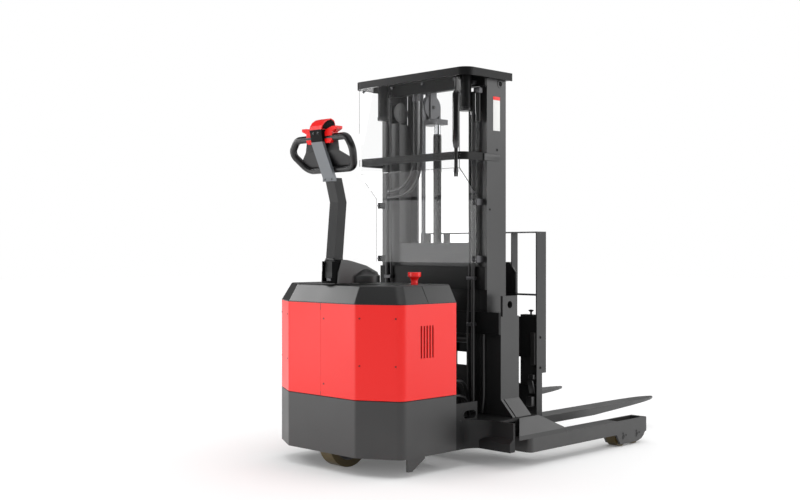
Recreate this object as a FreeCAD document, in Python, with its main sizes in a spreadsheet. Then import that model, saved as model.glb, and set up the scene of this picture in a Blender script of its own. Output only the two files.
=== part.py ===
"""Pedestrian straddle reach truck, as a parametric FreeCAD document.

Frame: +X towards the fork tips, +Y to the left, +Z up, in millimetres. The floor is at Z = 0 and
the origin lies under the middle of the overall box. Lengths along the truck are measured from the
rear face of the body, which lies at rear_x.
"""
import FreeCAD, Part
import math
import os
import re

import Sketcher

SIZES = {
    # Body outline in plan: flat rear, slanted corners, straight sides
    "rear_x": -1065.5,
    "rear_half_width": 221,
    "corner_run": 104,
    "body_half_width": 404,
    "rear_round": 25,
    "side_round": 48,
    "hood_round": 10,
    # Body levels and walls
    "skirt_bottom": 80,
    "skirt_top": 324,
    "skirt_wall": 8,
    "cover_gap": 3,
    "seam_gap": 0.8,
    "seat_gap": 0.3,
    "cover_wall": 5,
    "cover_top": 733,
    "hood_top": 813,
    "hood_inset": 44,
    "hood_wall": 5,
    "hood_seam_x": 262,
    # Vent slots in the red covers
    "vent_x": 214,
    "vent_pitch": 18,
    "vent_width": 9,
    "vent_bottom": 501,
    "vent_top": 640,
    # Inner frame
    "drive_plate_bottom": 302,
    "drive_plate_thick": 12,
    "bulkhead_x": 268,
    "bulkhead_thick": 8,
    "bulkhead_top": 700,
    "shelf_bottom": 190,
    "shelf_thick": 10,
    # Heavy masses
    "battery_half_width": 315,
    "battery_height": 480,
    "battery_clear": 3,
    "pump_x": 150,
    "pump_y": 150,
    "pump_length": 105,
    "pump_width": 190,
    "pump_height": 290,
    # Skid foot against tipping
    "skid_x": 148,
    "skid_length": 101,
    "skid_toe": 22,
    "skid_heel_z": 70,
    "skid_plate": 15,
    "skid_wall": 8,
    "skid_depth": 44,
    "skid_ground": 23,
    # Steered unit
    "steer_x": 137,
    "turn_gap": 0.3,
    "moving_gap": 5,
    "ring_radius": 95,
    "ring_height": 16,
    "motor_radius": 72,
    "motor_hole_clear": 6,
    "motor_top": 560,
    "column_radius": 40,
    "column_hole_clear": 8,
    "drive_radius": 115,
    "drive_width": 76,
    "drive_axle_radius": 16,
    "fork_cheek": 16,
    "fork_cheek_length": 90,
    "run_clear": 0.05,
    # Cover of the steering head, a wedge with a drum in it
    "wedge_rear_x": 53,
    "wedge_front_x": 300,
    "wedge_half_width": 56,
    "wedge_wall": 5,
    "wedge_high": 923,
    "wedge_brow_z": 870,
    "wedge_back_z": 895,
    "wedge_back_x": 224,
    "wedge_nose_z": 865,
    "wedge_nose": 7,
    "drum_x": 247,
    "drum_radius": 60,
    "drum_height": 37,
    "drum_roof": 33,
    # Tiller
    "pivot_x": 75,
    "pivot_z": 866,
    "pivot_radius": 10,
    "yoke_radius": 50,
    "yoke_inner": 33,
    "yoke_top": 915,
    "arm_width": 56,
    "arm_depth": 50,
    "arm_bend_x": 104,
    "arm_bend_z": 1177,
    "arm_top_x": 75,
    "arm_top_z": 1284,
    "strap_top_x": -23.5,
    "strap_top_z": 1437,
    "strap_width": 74,
    "strap_depth": 15,
    "strap_foot_x": 45,
    "strap_foot_z": 1268,
    "head_rear_x": -32,
    "head_length": 84,
    "head_width": 76,
    "head_taper": 11,
    "head_top_z": 1490,
    "dome_width": 80,
    "dome_top_z": 1542,
    "rocker_rear_x": -10,
    "rocker_length": 35,
    "rocker_inner": 46,
    "rocker_outer": 85,
    "rocker_low_z": 1431,
    "rocker_wing": 115,
    "rocker_wing_z": 1490,
    "rocker_wing_high": 12,
    "loop_half_width": 203,
    "loop_radius": 16,
    "loop_top_z": 1456,
    "loop_top_x": 5,
    "loop_wide_z": 1400,
    "loop_shoulder": 165,
    "loop_foot": 150,
    "loop_bend": 40,
    "loop_low_z": 1322,
    "loop_low_x": 62,
    "shield_thick": 8,
    "shield_high_z": 1446,
    "shield_wide": 156,
    "shield_wide_z": 1368,
    "shield_neck": 108,
    # Base frame under the mast
    "base_rear_x": 580,
    "base_wall": 12,
    "base_top": 206,
    "base_low": 62,
    "side_plate_top": 285,
    "bend_radius": 96,
    "side_plate_length": 140,
    "slot_back": 49,
    "slot_z": 231,
    "slot_half": 23,
    "slot_radius": 18,
    "lip_depth": 24,
    "lip_inner": 372,
    "lip_low": 118,
    "lip_high": 137,
    "root_front_x": 872,
    # Straddle legs
    "leg_outer": 613,
    "leg_width": 88,
    "leg_top": 126,
    "leg_beam_end_x": 1375,
    "leg_open_x": 1396,
    "leg_lid": 10,
    "leg_tip_x": 1637,
    "leg_end_plate": 24,
    "tip_wall": 12,
    "tip_ground": 13,
    "tip_slope": 33,
    "tip_curve": 66,
    "leg_round": 24,
    "tip_front_low": 54,
    # Load wheels
    "load_radius": 50,
    "load_axle_radius": 10,
    "load_rear_x": 1434,
    "load_spacing": 117,
    # Mast, outer rails
    "mast_x": 715,
    "rail_depth": 136,
    "mast_half_width": 347,
    "rail_web": 10,
    "rail_flange": 14,
    "rail_width": 45,
    "top_roller_radius": 51,
    "top_roller_z": 1660,
    "mast_low": 70,
    "mast_top": 1759,
    # Mast cross beams
    "beam_depth": 15,
    "beam_low_bottom": 577,
    "beam_low_top": 678,
    "beam_mid_bottom": 781,
    "beam_mid_top": 888,
    "beam_high_bottom": 1725,
    # Posts, ears, braces and wings at the foot of the mast
    "post_outer": 430,
    "post_rear_x": 730,
    "post_length": 116,
    "post_top": 660,
    "ear_thick": 12,
    "ear_x": 728,
    "ear_length": 104,
    "ear_top": 754,
    "ear_hole_radius": 17,
    "ear_hole_z": 713,
    "brace_thick": 9,
    "brace_top": 281,
    "brace_outer": 502,
    "wing_thick": 6,
    "wing_high": 205,
    "wing_low": 146,
    "wing_inner_rear_x": 732,
    "wing_outer_rear_x": 622,
    "wing_outer_front_x": 963,
    # Top guard, middle guard, screen
    "guard_rear_x": 540,
    "guard_front_x": 865,
    "guard_half_width": 375,
    "guard_height": 36,
    "guard_wall": 6,
    "guard_roof": 8,
    "guard_corner": 50,
    "bumper_x": 650,
    "bumper_y": 272,
    "bumper_radius": 27,
    "bumper_low": 1608,
    "mid_guard_low": 1377,
    "mid_guard_height": 36,
    "screen_thick": 5,
    "screen_half_width": 330,
    "screen_fold_high": 1337,
    "screen_fold_low": 1220,
    "screen_low_x": 657,
    "screen_bottom": 906,
    "clip_y": 305,
    "clip_width": 20,
    "clip_height": 30,
    "clip_high_z": 1172,
    "clip_low_z": 908,
    # Lift cylinder
    "cylinder_x": 752,
    "cylinder_radius": 20,
    "cylinder_bore": 15,
    "cylinder_top": 1520,
    "cylinder_foot": 68,
    "foot_thick": 12,
    "foot_half_width": 60,
    "rod_radius": 14.5,
    "rod_low": 130,
    # Inner mast
    "inner_x": 722,
    "inner_depth": 140,
    "inner_outer": 297,
    "inner_width": 66,
    "inner_web_y": 276,
    "inner_web": 10,
    "inner_low": 120,
    "inner_top": 1600,
    "tie_thick": 5,
    "tie_height": 60,
    "tie_mid_height": 120,
    "tie_mid_z": 880,
    "flange_top": 1780,
    "top_tie_height": 32,
    "top_tie_depth": 8,
    "head_block_height": 25,
    "head_block_right": 25,
    "head_block_depth": 78,
    # Chain on its sheave, beside the rod
    "sheave_x": 783.5,
    "sheave_y": 72,
    "sheave_z": 1667,
    "sheave_radius": 57,
    "sheave_width": 24,
    "chain_radius": 60,
    "chain_thick": 12,
    "chain_width": 18,
    "chain_front_low": 620,
    "cheek_width": 44,
    "cheek_thick": 6,
    "cheek_top": 1742,
    "roller_gap": 0.3,
    "roller_low_z": 180,
    "roller_high_z": 440,
    "roller_width": 28,
    "stub_radius": 14,
    # Reach carriage
    "carriage_plate_y": 196,
    "carriage_plate": 12,
    "carriage_low": 185,
    "carriage_rear_top": 550,
    "carriage_top": 903,
    "carriage_rear_x": 750,
    "carriage_step_x": 852,
    "carriage_front_x": 938,
    "carriage_roller_low_z": 250,
    "carriage_roller_high_z": 450,
    "carriage_roller_width": 19,
    "carriage_tie": 12,
    "carriage_tie_low_top": 405,
    "carriage_tie_bottom": 560,
    # Pantograph
    "arm_pin_x": 895,
    "arm_pin_z": 860,
    "arm_length": 680,
    "arm_spread": 120,
    "link_width": 48,
    "link_thick": 14,
    "outer_link_y": 176,
    "inner_link_y": 155,
    "link_pin_radius": 12,
    "track_roller_radius": 20,
    "track_travel": 345,
    "hub_tube_radius": 24,
    # Fork frame
    "frame_plate_y": 134,
    "frame_plate": 12,
    "frame_rear_x": 990,
    "frame_edge": 2.4,
    "frame_plate_top": 890,
    "rest_rear_x": 1036,
    "rest_front_x": 1109,
    "rest_half_width": 386,
    "rest_bar": 6,
    "rest_top": 1054,
    "rest_wide_low": 371,
    "rest_narrow": 42,
    "rest_cross_z": 745,
    "rest_upright_y": 222,
    "rest_upright_depth": 45,
    "bar_thick": 24,
    "bar_low_bottom": 185,
    "bar_low_top": 313,
    "bar_high_bottom": 445,
    "bar_high_top": 640,
    "panel_half": 250,
    "panel_top_half": 208,
    "panel_thick": 12,
    "panel_shoulder": 857,
    "panel_top": 906,
    # Forks
    "fork_y": 310,
    "fork_width": 100,
    "fork_top": 153,
    "fork_heel": 38,
    "fork_shank": 40,
    "fork_shank_top": 650,
    "fork_length": 1054,
    "fork_tip_thick": 9,
    "fork_taper": 620,
    "fork_point": 260,
    "fork_point_half": 8,
    # Emergency knob
    "knob_x": 300,
    "knob_inset": 121,
    "knob_radius": 29,
    "knob_head": 18,
    "knob_stem_radius": 15,
    "knob_height": 54,
}

# Sizes that follow from others
DERIVED = {
    "body_length": "base_rear_x - side_plate_length",
    "knob_y": "knob_inset - body_half_width",
    "leg_inner": "leg_outer - leg_width",
    "guard_top": "mast_top + guard_height",
    "load_width": "leg_width - 2 * tip_wall - 2 * moving_gap",
    "frame_low": "arm_low_z - moving_gap - track_roller_radius - roller_gap - frame_edge",
    "arm_low_z": "arm_pin_z - sqrt(arm_length^2 - arm_spread^2)",
}

doc = FreeCAD.newDocument("ReachTruck")
sheet = doc.addObject("Spreadsheet::Sheet", "Sizes")
parts = []


def fill_sheet():
    """Write each driving size to the sheet, with its name as the cell's alias."""
    for row, (name, value) in enumerate(SIZES.items(), start=1):
        sheet.set(f"A{row}", f"'{name}")
        sheet.set(f"B{row}", str(value))
        sheet.setAlias(f"B{row}", name)
    doc.recompute()


def size(name):
    """The number in the sheet's cell of that name."""
    return float(sheet.get(name))


def bound(expression):
    """The expression with each derived size written out and each name pointing at its cell."""
    for name, meaning in DERIVED.items():
        expression = re.sub(rf"\b{name}\b", f"({meaning})", str(expression))
    return re.sub(r"\b([a-z][a-z0-9_]*)\b(?!\()", r"Sizes.\1", str(expression))


def bind(thing, **properties):
    """Bind properties to expressions: a double underscore stands for the dot of a sub-property."""
    for name, expression in properties.items():
        thing.setExpression(name.replace("__", "."), bound(expression))
    return thing


def at(offset):
    """The X of a place that lies that far ahead of the body's rear face."""
    return f"(rear_x + {offset})"


def place(thing, x=0, y=0, z=0):
    """Bind the place of an object."""
    return bind(thing, Placement__Base__x=x, Placement__Base__y=y, Placement__Base__z=z)


def box(x, y, z):
    """A box between pairs of expressions along each axis."""
    block = doc.addObject("Part::Box", "Block")
    bind(block, Length=f"({x[1]}) - ({x[0]})", Width=f"({y[1]}) - ({y[0]})", Height=f"({z[1]}) - ({z[0]})")
    return place(block, x[0], y[0], z[0])


TURNS = {
    "x": FreeCAD.Rotation(FreeCAD.Vector(0, 1, 0), 90),
    "y": FreeCAD.Rotation(FreeCAD.Vector(1, 0, 0), -90),
    "z": FreeCAD.Rotation(),
}


def cylinder(axis, radius, start, length, first, second):
    """A cylinder along an axis from start; first and second are its other two places in X, Y, Z order."""
    round_bar = doc.addObject("Part::Cylinder", "Round")
    round_bar.Placement = FreeCAD.Placement(FreeCAD.Vector(), TURNS[axis])
    bind(round_bar, Radius=radius, Height=length)
    where = {"x": (start, first, second), "y": (first, start, second), "z": (first, second, start)}
    return place(round_bar, *where[axis])


def fuse(*shapes):
    """The union of several objects."""
    union = doc.addObject("Part::MultiFuse", "Union")
    union.Shapes = list(shapes)
    return union


def cut(base, *tools):
    """The base without the tools."""
    result = doc.addObject("Part::Cut", "Cut")
    result.Base = base
    result.Tool = tools[0] if len(tools) == 1 else fuse(*tools)
    return result


def common(first, second):
    """What two objects share."""
    shared = doc.addObject("Part::Common", "Shared")
    shared.Base = first
    shared.Tool = second
    return shared


def mirrored(source):
    """The same piece on the truck's other side."""
    copy = doc.addObject("Part::Mirroring", "Mirrored")
    copy.Source = source
    copy.Normal = FreeCAD.Vector(0, 1, 0)
    return copy


def named(label, thing):
    """Make an object a sub-part, under the name that its file gets."""
    thing.Label = label
    parts.append(thing)
    return thing


def both_sides(label, left):
    """Name a left piece and its mirror image."""
    named(f"{label}_left", left)
    named(f"{label}_right", mirrored(left))


def draw_polygon(sketch, points):
    """Draw a closed polygon whose corners are pairs of expressions."""
    places = [[float(sheet.evalExpression(bound(c))) for c in point] for point in points]
    count = len(points)
    for i, start in enumerate(places):
        end = places[(i + 1) % count]
        line = Part.LineSegment(FreeCAD.Vector(*start, 0), FreeCAD.Vector(*end, 0))
        sketch.addGeometry(line, False)
    for i in range(count):
        sketch.addConstraint(Sketcher.Constraint("Coincident", i, 2, (i + 1) % count, 1))
    for i, point in enumerate(points):
        for kind, expression, value in zip(("DistanceX", "DistanceY"), point, places[i]):
            index = sketch.addConstraint(Sketcher.Constraint(kind, -1, 1, i, 1, value))
            sketch.setExpression(f"Constraints[{index}]", bound(expression))


def prism(plane, points, low, high):
    """A padded polygon: on XY between Z levels, on XZ between Y places, on YZ between X places."""
    body = doc.addObject("PartDesign::Body", "Prism")
    sketch = body.newObject("Sketcher::SketchObject", "Outline")
    origin_plane = next(f for f in body.Origin.OriginFeatures if f.Role == f"{plane}_Plane")
    sketch.AttachmentSupport = (origin_plane, "")
    sketch.MapMode = "FlatFace"
    draw_polygon(sketch, points)
    pad = body.newObject("PartDesign::Pad", "Pad")
    pad.Profile = sketch
    bind(pad, Length=f"({high}) - ({low})")
    sides = {"XY": {"z": low}, "XZ": {"y": high}, "YZ": {"x": low}}
    return place(body, **sides[plane])


def loft(sections):
    """A solid between flat polygons, given as (Z level, points) pairs."""
    sketches = []
    for level, points in sections:
        sketch = doc.addObject("Sketcher::SketchObject", "Section")
        draw_polygon(sketch, points)
        place(sketch, z=level)
        sketches.append(sketch)
    hull = doc.addObject("Part::Loft", "Hull")
    hull.Sections = sketches
    hull.Solid = True
    hull.Ruled = True
    return hull


def rounded(source, radius, picks):
    """Fillet the edges of source that the test picks."""
    doc.recompute()
    fillet = doc.addObject("Part::Fillet", "Rounded")
    fillet.Base = source
    fillet.Edges = [
        (number, radius, radius) for number, edge in enumerate(source.Shape.Edges, start=1) if picks(edge)
    ]
    return fillet


def upright(edge):
    """Whether an edge is a straight vertical line."""
    ends = [vertex.Point for vertex in edge.Vertexes]
    return len(ends) == 2 and abs(ends[0].x - ends[1].x) + abs(ends[0].y - ends[1].y) < 0.001


CORNER_RISE = "(body_half_width - rear_half_width)"
CORNER_SLANT = f"sqrt(corner_run^2 + {CORNER_RISE}^2)"


def outline(inset, front):
    """The body's plan, drawn in by an inset on the rear, the corners and the sides, up to a front."""
    rear_y = f"rear_half_width + ({inset}) * ({CORNER_RISE} - {CORNER_SLANT}) / corner_run"
    corner_x = at(f"corner_run + ({inset}) * ({CORNER_SLANT} - corner_run) / {CORNER_RISE}")
    side_y = f"body_half_width - ({inset})"
    left = [(at(inset), rear_y), (corner_x, side_y), (front, side_y)]
    return left + [(x, f"-({y})") for x, y in reversed(left)]


def behind(thing, front):
    """A test for the edges of thing that rise behind an X place."""
    limit = float(sheet.evalExpression(bound(front)))

    def rises(edge):
        ends = [vertex.Point for vertex in edge.Vertexes]
        return len(ends) == 2 and abs(ends[0].z - ends[1].z) > 1 and max(e.x for e in ends) < limit

    return rises


def soft_corners(source, depth, front):
    """Round the upright corners behind an X place, as they lie a depth inside the body's outline."""
    doc.recompute()
    rises = behind(source, front)
    between = (size("rear_half_width") + size("body_half_width")) / 2

    def radius(edge):
        beside = max(abs(vertex.Point.y) for vertex in edge.Vertexes) > between
        return size("side_round" if beside else "rear_round") - depth

    fillet = doc.addObject("Part::Fillet", "Rounded")
    fillet.Base = source
    fillet.Edges = [
        (number, radius(edge), radius(edge))
        for number, edge in enumerate(source.Shape.Edges, start=1) if rises(edge)
    ]
    return fillet


def body_shell(wall, low, high):
    """The wall that runs round the body's rear, corners and sides, open at the front."""
    outside = prism("XY", outline("0", at("body_length")), low, high)
    inside = prism("XY", outline(wall, at("body_length + skirt_wall")), f"{low} - 1", f"{high} + 1")
    middle = at("body_length / 2")
    return cut(soft_corners(outside, 0, middle), soft_corners(inside, size(wall), middle))


def make_skirt():
    """Steel skirt round the drive wheel, with the skid foot on its right that stops the truck from tipping."""
    wall = body_shell("skirt_wall", "skirt_bottom", "skirt_top")
    outer = "body_half_width - skirt_wall"
    ends = (at("skid_x"), at("skid_x + skid_length"))
    flange = box(ends, (f"{outer} - skid_depth", f"{outer} + 1"), ("skirt_bottom", "skirt_bottom + skid_wall"))
    blade = prism("XZ", [
        (ends[0], "skid_ground"),
        (at("skid_x + skid_toe"), "skid_ground"),
        (ends[1], "skid_heel_z"),
        (ends[1], "skirt_bottom + 1"),
        (ends[0], "skirt_bottom + 1"),
    ], f"{outer} - skid_plate", outer)
    foot = fuse(flange, blade)
    named("skirt", fuse(wall, mirrored(foot)))


def make_covers():
    """Red covers, split at the middle of the rear, each with a row of vent slots."""
    shell = body_shell("cover_wall", "skirt_top + cover_gap", "cover_top")
    half = box((at("-1"), at("body_length + 1")), ("seam_gap / 2", "body_half_width + 1"),
               ("skirt_top", "cover_top + 1"))
    left = common(shell, half)
    slots = []
    for number in range(5):
        start = f"vent_x + {number} * vent_pitch"
        slots.append(box((at(start), at(f"{start} + vent_width")),
                         ("body_half_width - 2 * cover_wall", "body_half_width + 1"),
                         ("vent_bottom", "vent_top")))
    both_sides("red_cover", cut(left, *slots))


def make_hood():
    """Dark hood with sloping sides, in a rear and a front piece."""
    front = at("body_length")
    outside = loft([
        ("cover_top + seat_gap", outline("0", front)),
        ("hood_top", outline("hood_inset", front)),
    ])
    inner_front = at("body_length - hood_wall")
    inside = loft([
        ("cover_top + seat_gap - 1", outline("hood_wall", inner_front)),
        ("hood_top - hood_wall", outline("hood_inset + hood_wall", inner_front)),
    ])
    corners = soft_corners(outside, 0, at("body_length / 2"))
    hollow = soft_corners(inside, size("hood_wall"), at("body_length / 2"))

    def rim(edge):
        box_of = edge.BoundBox
        return box_of.ZMin > size("hood_top") - 0.01 and box_of.XMin < corners.Shape.BoundBox.XMax - 1

    shell = cut(rounded(corners, size("hood_round"), rim), hollow)
    levels = ("cover_top", "hood_top + 1")
    sides = ("-body_half_width - 1", "body_half_width + 1")
    rear = common(shell, box((at("-1"), at("hood_seam_x")), sides, levels))
    hole = cylinder("z", "column_radius + column_hole_clear", "hood_top - 2 * hood_wall",
                    "3 * hood_wall", at("steer_x"), "0")
    named("hood_rear", cut(rear, hole))
    seam = box((at("hood_seam_x + cover_gap"), at("body_length + 1")), sides, levels)
    named("hood_front", common(shell, seam))


def make_inner_frame():
    """Drive plate, bulkheads and battery shelf inside the body."""
    plate = prism("XY", outline("skirt_wall", at("bulkhead_x")), "drive_plate_bottom",
                  "drive_plate_bottom + drive_plate_thick")
    plate = soft_corners(plate, size("skirt_wall"), at("body_length / 2"))
    hole = cylinder("z", "motor_radius + motor_hole_clear", "drive_plate_bottom - 1",
                    "drive_plate_thick + 2", at("steer_x"), "0")
    sides = ("-body_half_width + skirt_wall", "body_half_width - skirt_wall")
    walls = []
    for start in ("bulkhead_x", "body_length - bulkhead_thick"):
        across = (at(start), at(f"{start} + bulkhead_thick"))
        walls.append(box(across, sides, ("skirt_bottom", "bulkhead_top")))
        walls.append(box(across, ("-body_half_width + cover_wall", "body_half_width - cover_wall"),
                         ("skirt_top + cover_gap", "bulkhead_top")))
    shelf = box((at("bulkhead_x"), at("body_length")), sides,
                ("shelf_bottom", "shelf_bottom + shelf_thick"))
    named("inner_frame", fuse(cut(plate, hole), *walls, shelf))


def make_masses():
    """The battery and the pump unit, as plain blocks."""
    battery = box(
        (at("bulkhead_x + bulkhead_thick + battery_clear"), at("body_length - bulkhead_thick - battery_clear")),
        ("-battery_half_width", "battery_half_width"),
        ("shelf_bottom + shelf_thick", "shelf_bottom + shelf_thick + battery_height"))
    named("battery", battery)
    floor = "drive_plate_bottom + drive_plate_thick"
    pump = box((at("pump_x"), at("pump_x + pump_length")), ("pump_y", "pump_y + pump_width"),
               (floor, f"{floor} + pump_height"))
    named("power_unit", pump)


def make_steered_unit():
    """Turntable, motor, wheel cheeks and steering column, on one upright axis."""
    x = at("steer_x")
    ring_top = "drive_plate_bottom - turn_gap"
    ring = cylinder("z", "ring_radius", f"{ring_top} - ring_height", "ring_height", x, "0")
    motor = cylinder("z", "motor_radius", f"{ring_top} - ring_height",
                     f"motor_top - {ring_top} + ring_height", x, "0")
    column = cylinder("z", "column_radius", "motor_top", "hood_top + moving_gap - motor_top", x, "0")
    cheeks = []
    inner = "drive_width / 2 + moving_gap"
    for low, high in ((inner, f"{inner} + fork_cheek"), (f"-({inner}) - fork_cheek", f"-({inner})")):
        cheeks.append(box((at("steer_x - fork_cheek_length / 2"), at("steer_x + fork_cheek_length / 2")),
                          (low, high), ("drive_radius - 2 * drive_axle_radius", f"{ring_top} - ring_height")))
    axle = cylinder("y", "drive_axle_radius", f"-({inner}) - fork_cheek", f"2 * ({inner} + fork_cheek)",
                    x, "drive_radius")
    named("drive_unit", fuse(ring, motor, column, *cheeks, axle))
    tread = cylinder("y", "drive_radius", "-drive_width / 2", "drive_width", x, "drive_radius")
    bore = cylinder("y", "drive_axle_radius + run_clear", "-drive_width", "2 * drive_width", x, "drive_radius")
    named("drive_wheel", cut(tread, bore))


def make_steering_cover():
    """Wedge over the steering head, with a drum in it, and the yoke that holds the tiller."""
    floor = "hood_top + moving_gap"
    profile = [
        (at("wedge_rear_x"), floor),
        (at("wedge_rear_x + 3"), "wedge_brow_z"),
        (at("wedge_rear_x + 21"), "wedge_high"),
        (at("wedge_rear_x + 54"), "wedge_high - 2"),
        (at("wedge_rear_x + 82"), "wedge_high - 7"),
        (at("wedge_back_x"), "wedge_back_z"),
        (at("wedge_front_x - wedge_nose"), "wedge_nose_z"),
        (at("wedge_front_x"), "wedge_nose_z - 2 * wedge_nose"),
        (at("wedge_front_x"), floor),
    ]
    wedge = prism("XZ", profile, "-wedge_half_width", "wedge_half_width")
    slot = box((at("wedge_rear_x - 1"), at("pivot_x + yoke_radius + moving_gap")),
               ("-wedge_half_width + wedge_wall", "wedge_half_width - wedge_wall"),
               (f"{floor} - 1", "wedge_high + 1"))
    drum = cylinder("z", "drum_radius", floor, "drum_height", at("drum_x"), "0")
    roof = doc.addObject("Part::Cone", "Roof")
    bind(roof, Radius1="drum_radius", Radius2="drum_radius / 3", Height="drum_roof")
    place(roof, at("drum_x"), "0", f"{floor} + drum_height")
    named("steering_cover", cut(fuse(wedge, drum, roof), slot))
    x = at("pivot_x")
    barrel = cylinder("z", "yoke_radius", floor, f"yoke_top - ({floor})", x, "0")
    gap = box((at("pivot_x - yoke_radius - 1"), at("pivot_x + yoke_radius + 1")),
              ("-yoke_inner", "yoke_inner"), (f"{floor} + skirt_wall", "yoke_top + 1"))
    pin = cylinder("y", "pivot_radius", "-yoke_radius + moving_gap", "2 * (yoke_radius - moving_gap)", x, "pivot_z")
    named("tiller_yoke", fuse(cut(barrel, gap), pin))


def make_tiller():
    """Cranked tiller arm with its strap, head block, red switches and guard loop."""
    half = "arm_depth / 2"
    arm = prism("XZ", [
        (at(f"pivot_x - {half}"), "pivot_z - arm_depth / 2"),
        (at(f"pivot_x - {half}"), "pivot_z"),
        (at(f"arm_bend_x - {half}"), "arm_bend_z"),
        (at(f"arm_top_x - {half}"), "arm_top_z"),
        (at(f"arm_top_x + {half}"), "arm_top_z"),
        (at(f"arm_bend_x + {half}"), "arm_bend_z"),
        (at(f"pivot_x + {half}"), "pivot_z"),
        (at(f"pivot_x + {half}"), "pivot_z - arm_depth / 2"),
    ], "-arm_width / 2", "arm_width / 2")
    bore = cylinder("y", "pivot_radius + run_clear", "-arm_width", "2 * arm_width", at("pivot_x"), "pivot_z")
    strap = prism("XZ", [
        (at("strap_foot_x"), "strap_foot_z"),
        (at("strap_foot_x"), "arm_top_z"),
        (at("strap_top_x"), "strap_top_z"),
        (at("strap_top_x + strap_depth"), "strap_top_z"),
        (at("strap_foot_x + strap_depth"), "arm_top_z"),
        (at("strap_foot_x + strap_depth"), "strap_foot_z"),
    ], "-strap_width / 2", "strap_width / 2")
    named("tiller_strap", strap)
    named("tiller_arm", cut(arm, bore, strap))
    head = prism("XZ", [
        (at("head_rear_x + head_taper"), "strap_top_z"),
        (at("head_rear_x"), "head_top_z"),
        (at("head_rear_x + head_length"), "head_top_z"),
        (at("head_rear_x + head_length - head_taper"), "strap_top_z"),
    ], "-head_width / 2", "head_width / 2")
    named("tiller_head", head)
    switches = make_switches()
    named("tiller_switches", switches)
    named("tiller_loop", cut(make_loop(), strap, head, switches))


def make_switches():
    """Red dome on the head, and the red rockers for both thumbs."""
    rise = "(dome_top_z - head_top_z)"
    dome = prism("XZ", [
        (at("head_rear_x"), "head_top_z"),
        (at("head_rear_x + 0.06 * head_length"), f"head_top_z + 0.33 * {rise}"),
        (at("head_rear_x + 0.2 * head_length"), f"head_top_z + 0.65 * {rise}"),
        (at("head_rear_x + 0.44 * head_length"), f"head_top_z + 0.9 * {rise}"),
        (at("head_rear_x + 0.68 * head_length"), "dome_top_z"),
        (at("head_rear_x + 0.89 * head_length"), f"head_top_z + 0.87 * {rise}"),
        (at("head_rear_x + 0.98 * head_length"), f"head_top_z + 0.58 * {rise}"),
        (at("head_rear_x + head_length"), "head_top_z"),
    ], "-dome_width / 2", "dome_width / 2")
    rocker = prism("YZ", [
        ("head_width / 2 + seat_gap", "rocker_low_z + rocker_wing_high"),
        ("rocker_inner", "rocker_low_z"),
        ("rocker_outer - rocker_wing_high", "rocker_low_z"),
        ("rocker_outer", "rocker_low_z + rocker_wing_high"),
        ("rocker_outer", "rocker_wing_z - rocker_wing_high"),
        ("rocker_wing", "rocker_wing_z"),
        ("rocker_wing", "rocker_wing_z + rocker_wing_high"),
        ("rocker_outer", "rocker_wing_z + rocker_wing_high"),
        ("rocker_inner", "rocker_wing_z"),
        ("head_width / 2 + seat_gap", "rocker_wing_z - rocker_wing_high"),
    ], at("rocker_rear_x"), at("rocker_rear_x + rocker_length"))
    return fuse(dome, rocker, mirrored(rocker))


def corner_arc(before, corner, after, radius):
    """A tangent arc that rounds a corner of a path."""
    back = (before - corner).normalize()
    onward = (after - corner).normalize()
    half_turn = (math.pi - back.getAngle(onward)) / 2
    run = radius * math.tan(half_turn)
    first, last = corner + back * run, corner + onward * run
    middle_way = (back + onward).normalize()
    centre = corner + middle_way * (radius / math.cos(half_turn))
    middle = centre - middle_way * radius
    return Part.Arc(first, middle, last)


def make_loop():
    """Closed guard loop of round bar, upright above and leaning back below, with a flat shield in it."""
    high, wide_z, low = size("loop_top_z"), size("loop_wide_z"), size("loop_low_z")
    bend = size("loop_bend")
    lean = (size("loop_low_x") - size("loop_top_x")) / (wide_z - low)

    def point(y, z):
        x = size("rear_x") + size("loop_top_x") + lean * max(wide_z - z, 0)
        return FreeCAD.Vector(x, y, z)

    left = [point(size("loop_shoulder"), high), point(size("loop_half_width"), wide_z),
            point(size("loop_foot"), low)]
    corners = left + [FreeCAD.Vector(p.x, -p.y, p.z) for p in reversed(left)]
    bends = [bend, bend, 1.5 * bend, 1.5 * bend, bend, bend]
    count = len(corners)
    arcs = [
        corner_arc(corners[i - 1], corner, corners[(i + 1) % count], bends[i])
        for i, corner in enumerate(corners)
    ]
    edges = []
    for i, arc in enumerate(arcs):
        following = arcs[(i + 1) % count]
        edges += [arc.toShape(), Part.LineSegment(arc.EndPoint, following.StartPoint).toShape()]
    path = Part.Wire(edges)
    start = path.Edges[0].Vertexes[0].Point
    direction = path.Edges[0].tangentAt(path.Edges[0].FirstParameter)
    ring = Part.Wire([Part.Circle(start, direction, size("loop_radius")).toShape()])
    tube = path.makePipeShell([ring], True, False)
    neck, wide, thick = size("shield_neck"), size("shield_wide"), size("shield_thick")
    neck_z = wide_z - 2
    lower = [point(neck, neck_z), point(wide, size("shield_wide_z")), point(size("loop_foot"), low)]
    top = FreeCAD.Vector(lower[0].x, neck - thick, size("shield_high_z"))
    plates = []
    for half_outline in (lower, [top, lower[0]]):
        around = half_outline + [FreeCAD.Vector(p.x, -p.y, p.z) for p in reversed(half_outline)]
        face = Part.Face(Part.makePolygon(around + [around[0]]))
        plates.append(face.extrude(FreeCAD.Vector(thick, 0, 0)))
    loop = doc.addObject("Part::Feature", "Loop")
    loop.Shape = tube.fuse(plates).removeSplitter()
    loop.Placement = FreeCAD.Placement()
    return loop


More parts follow.
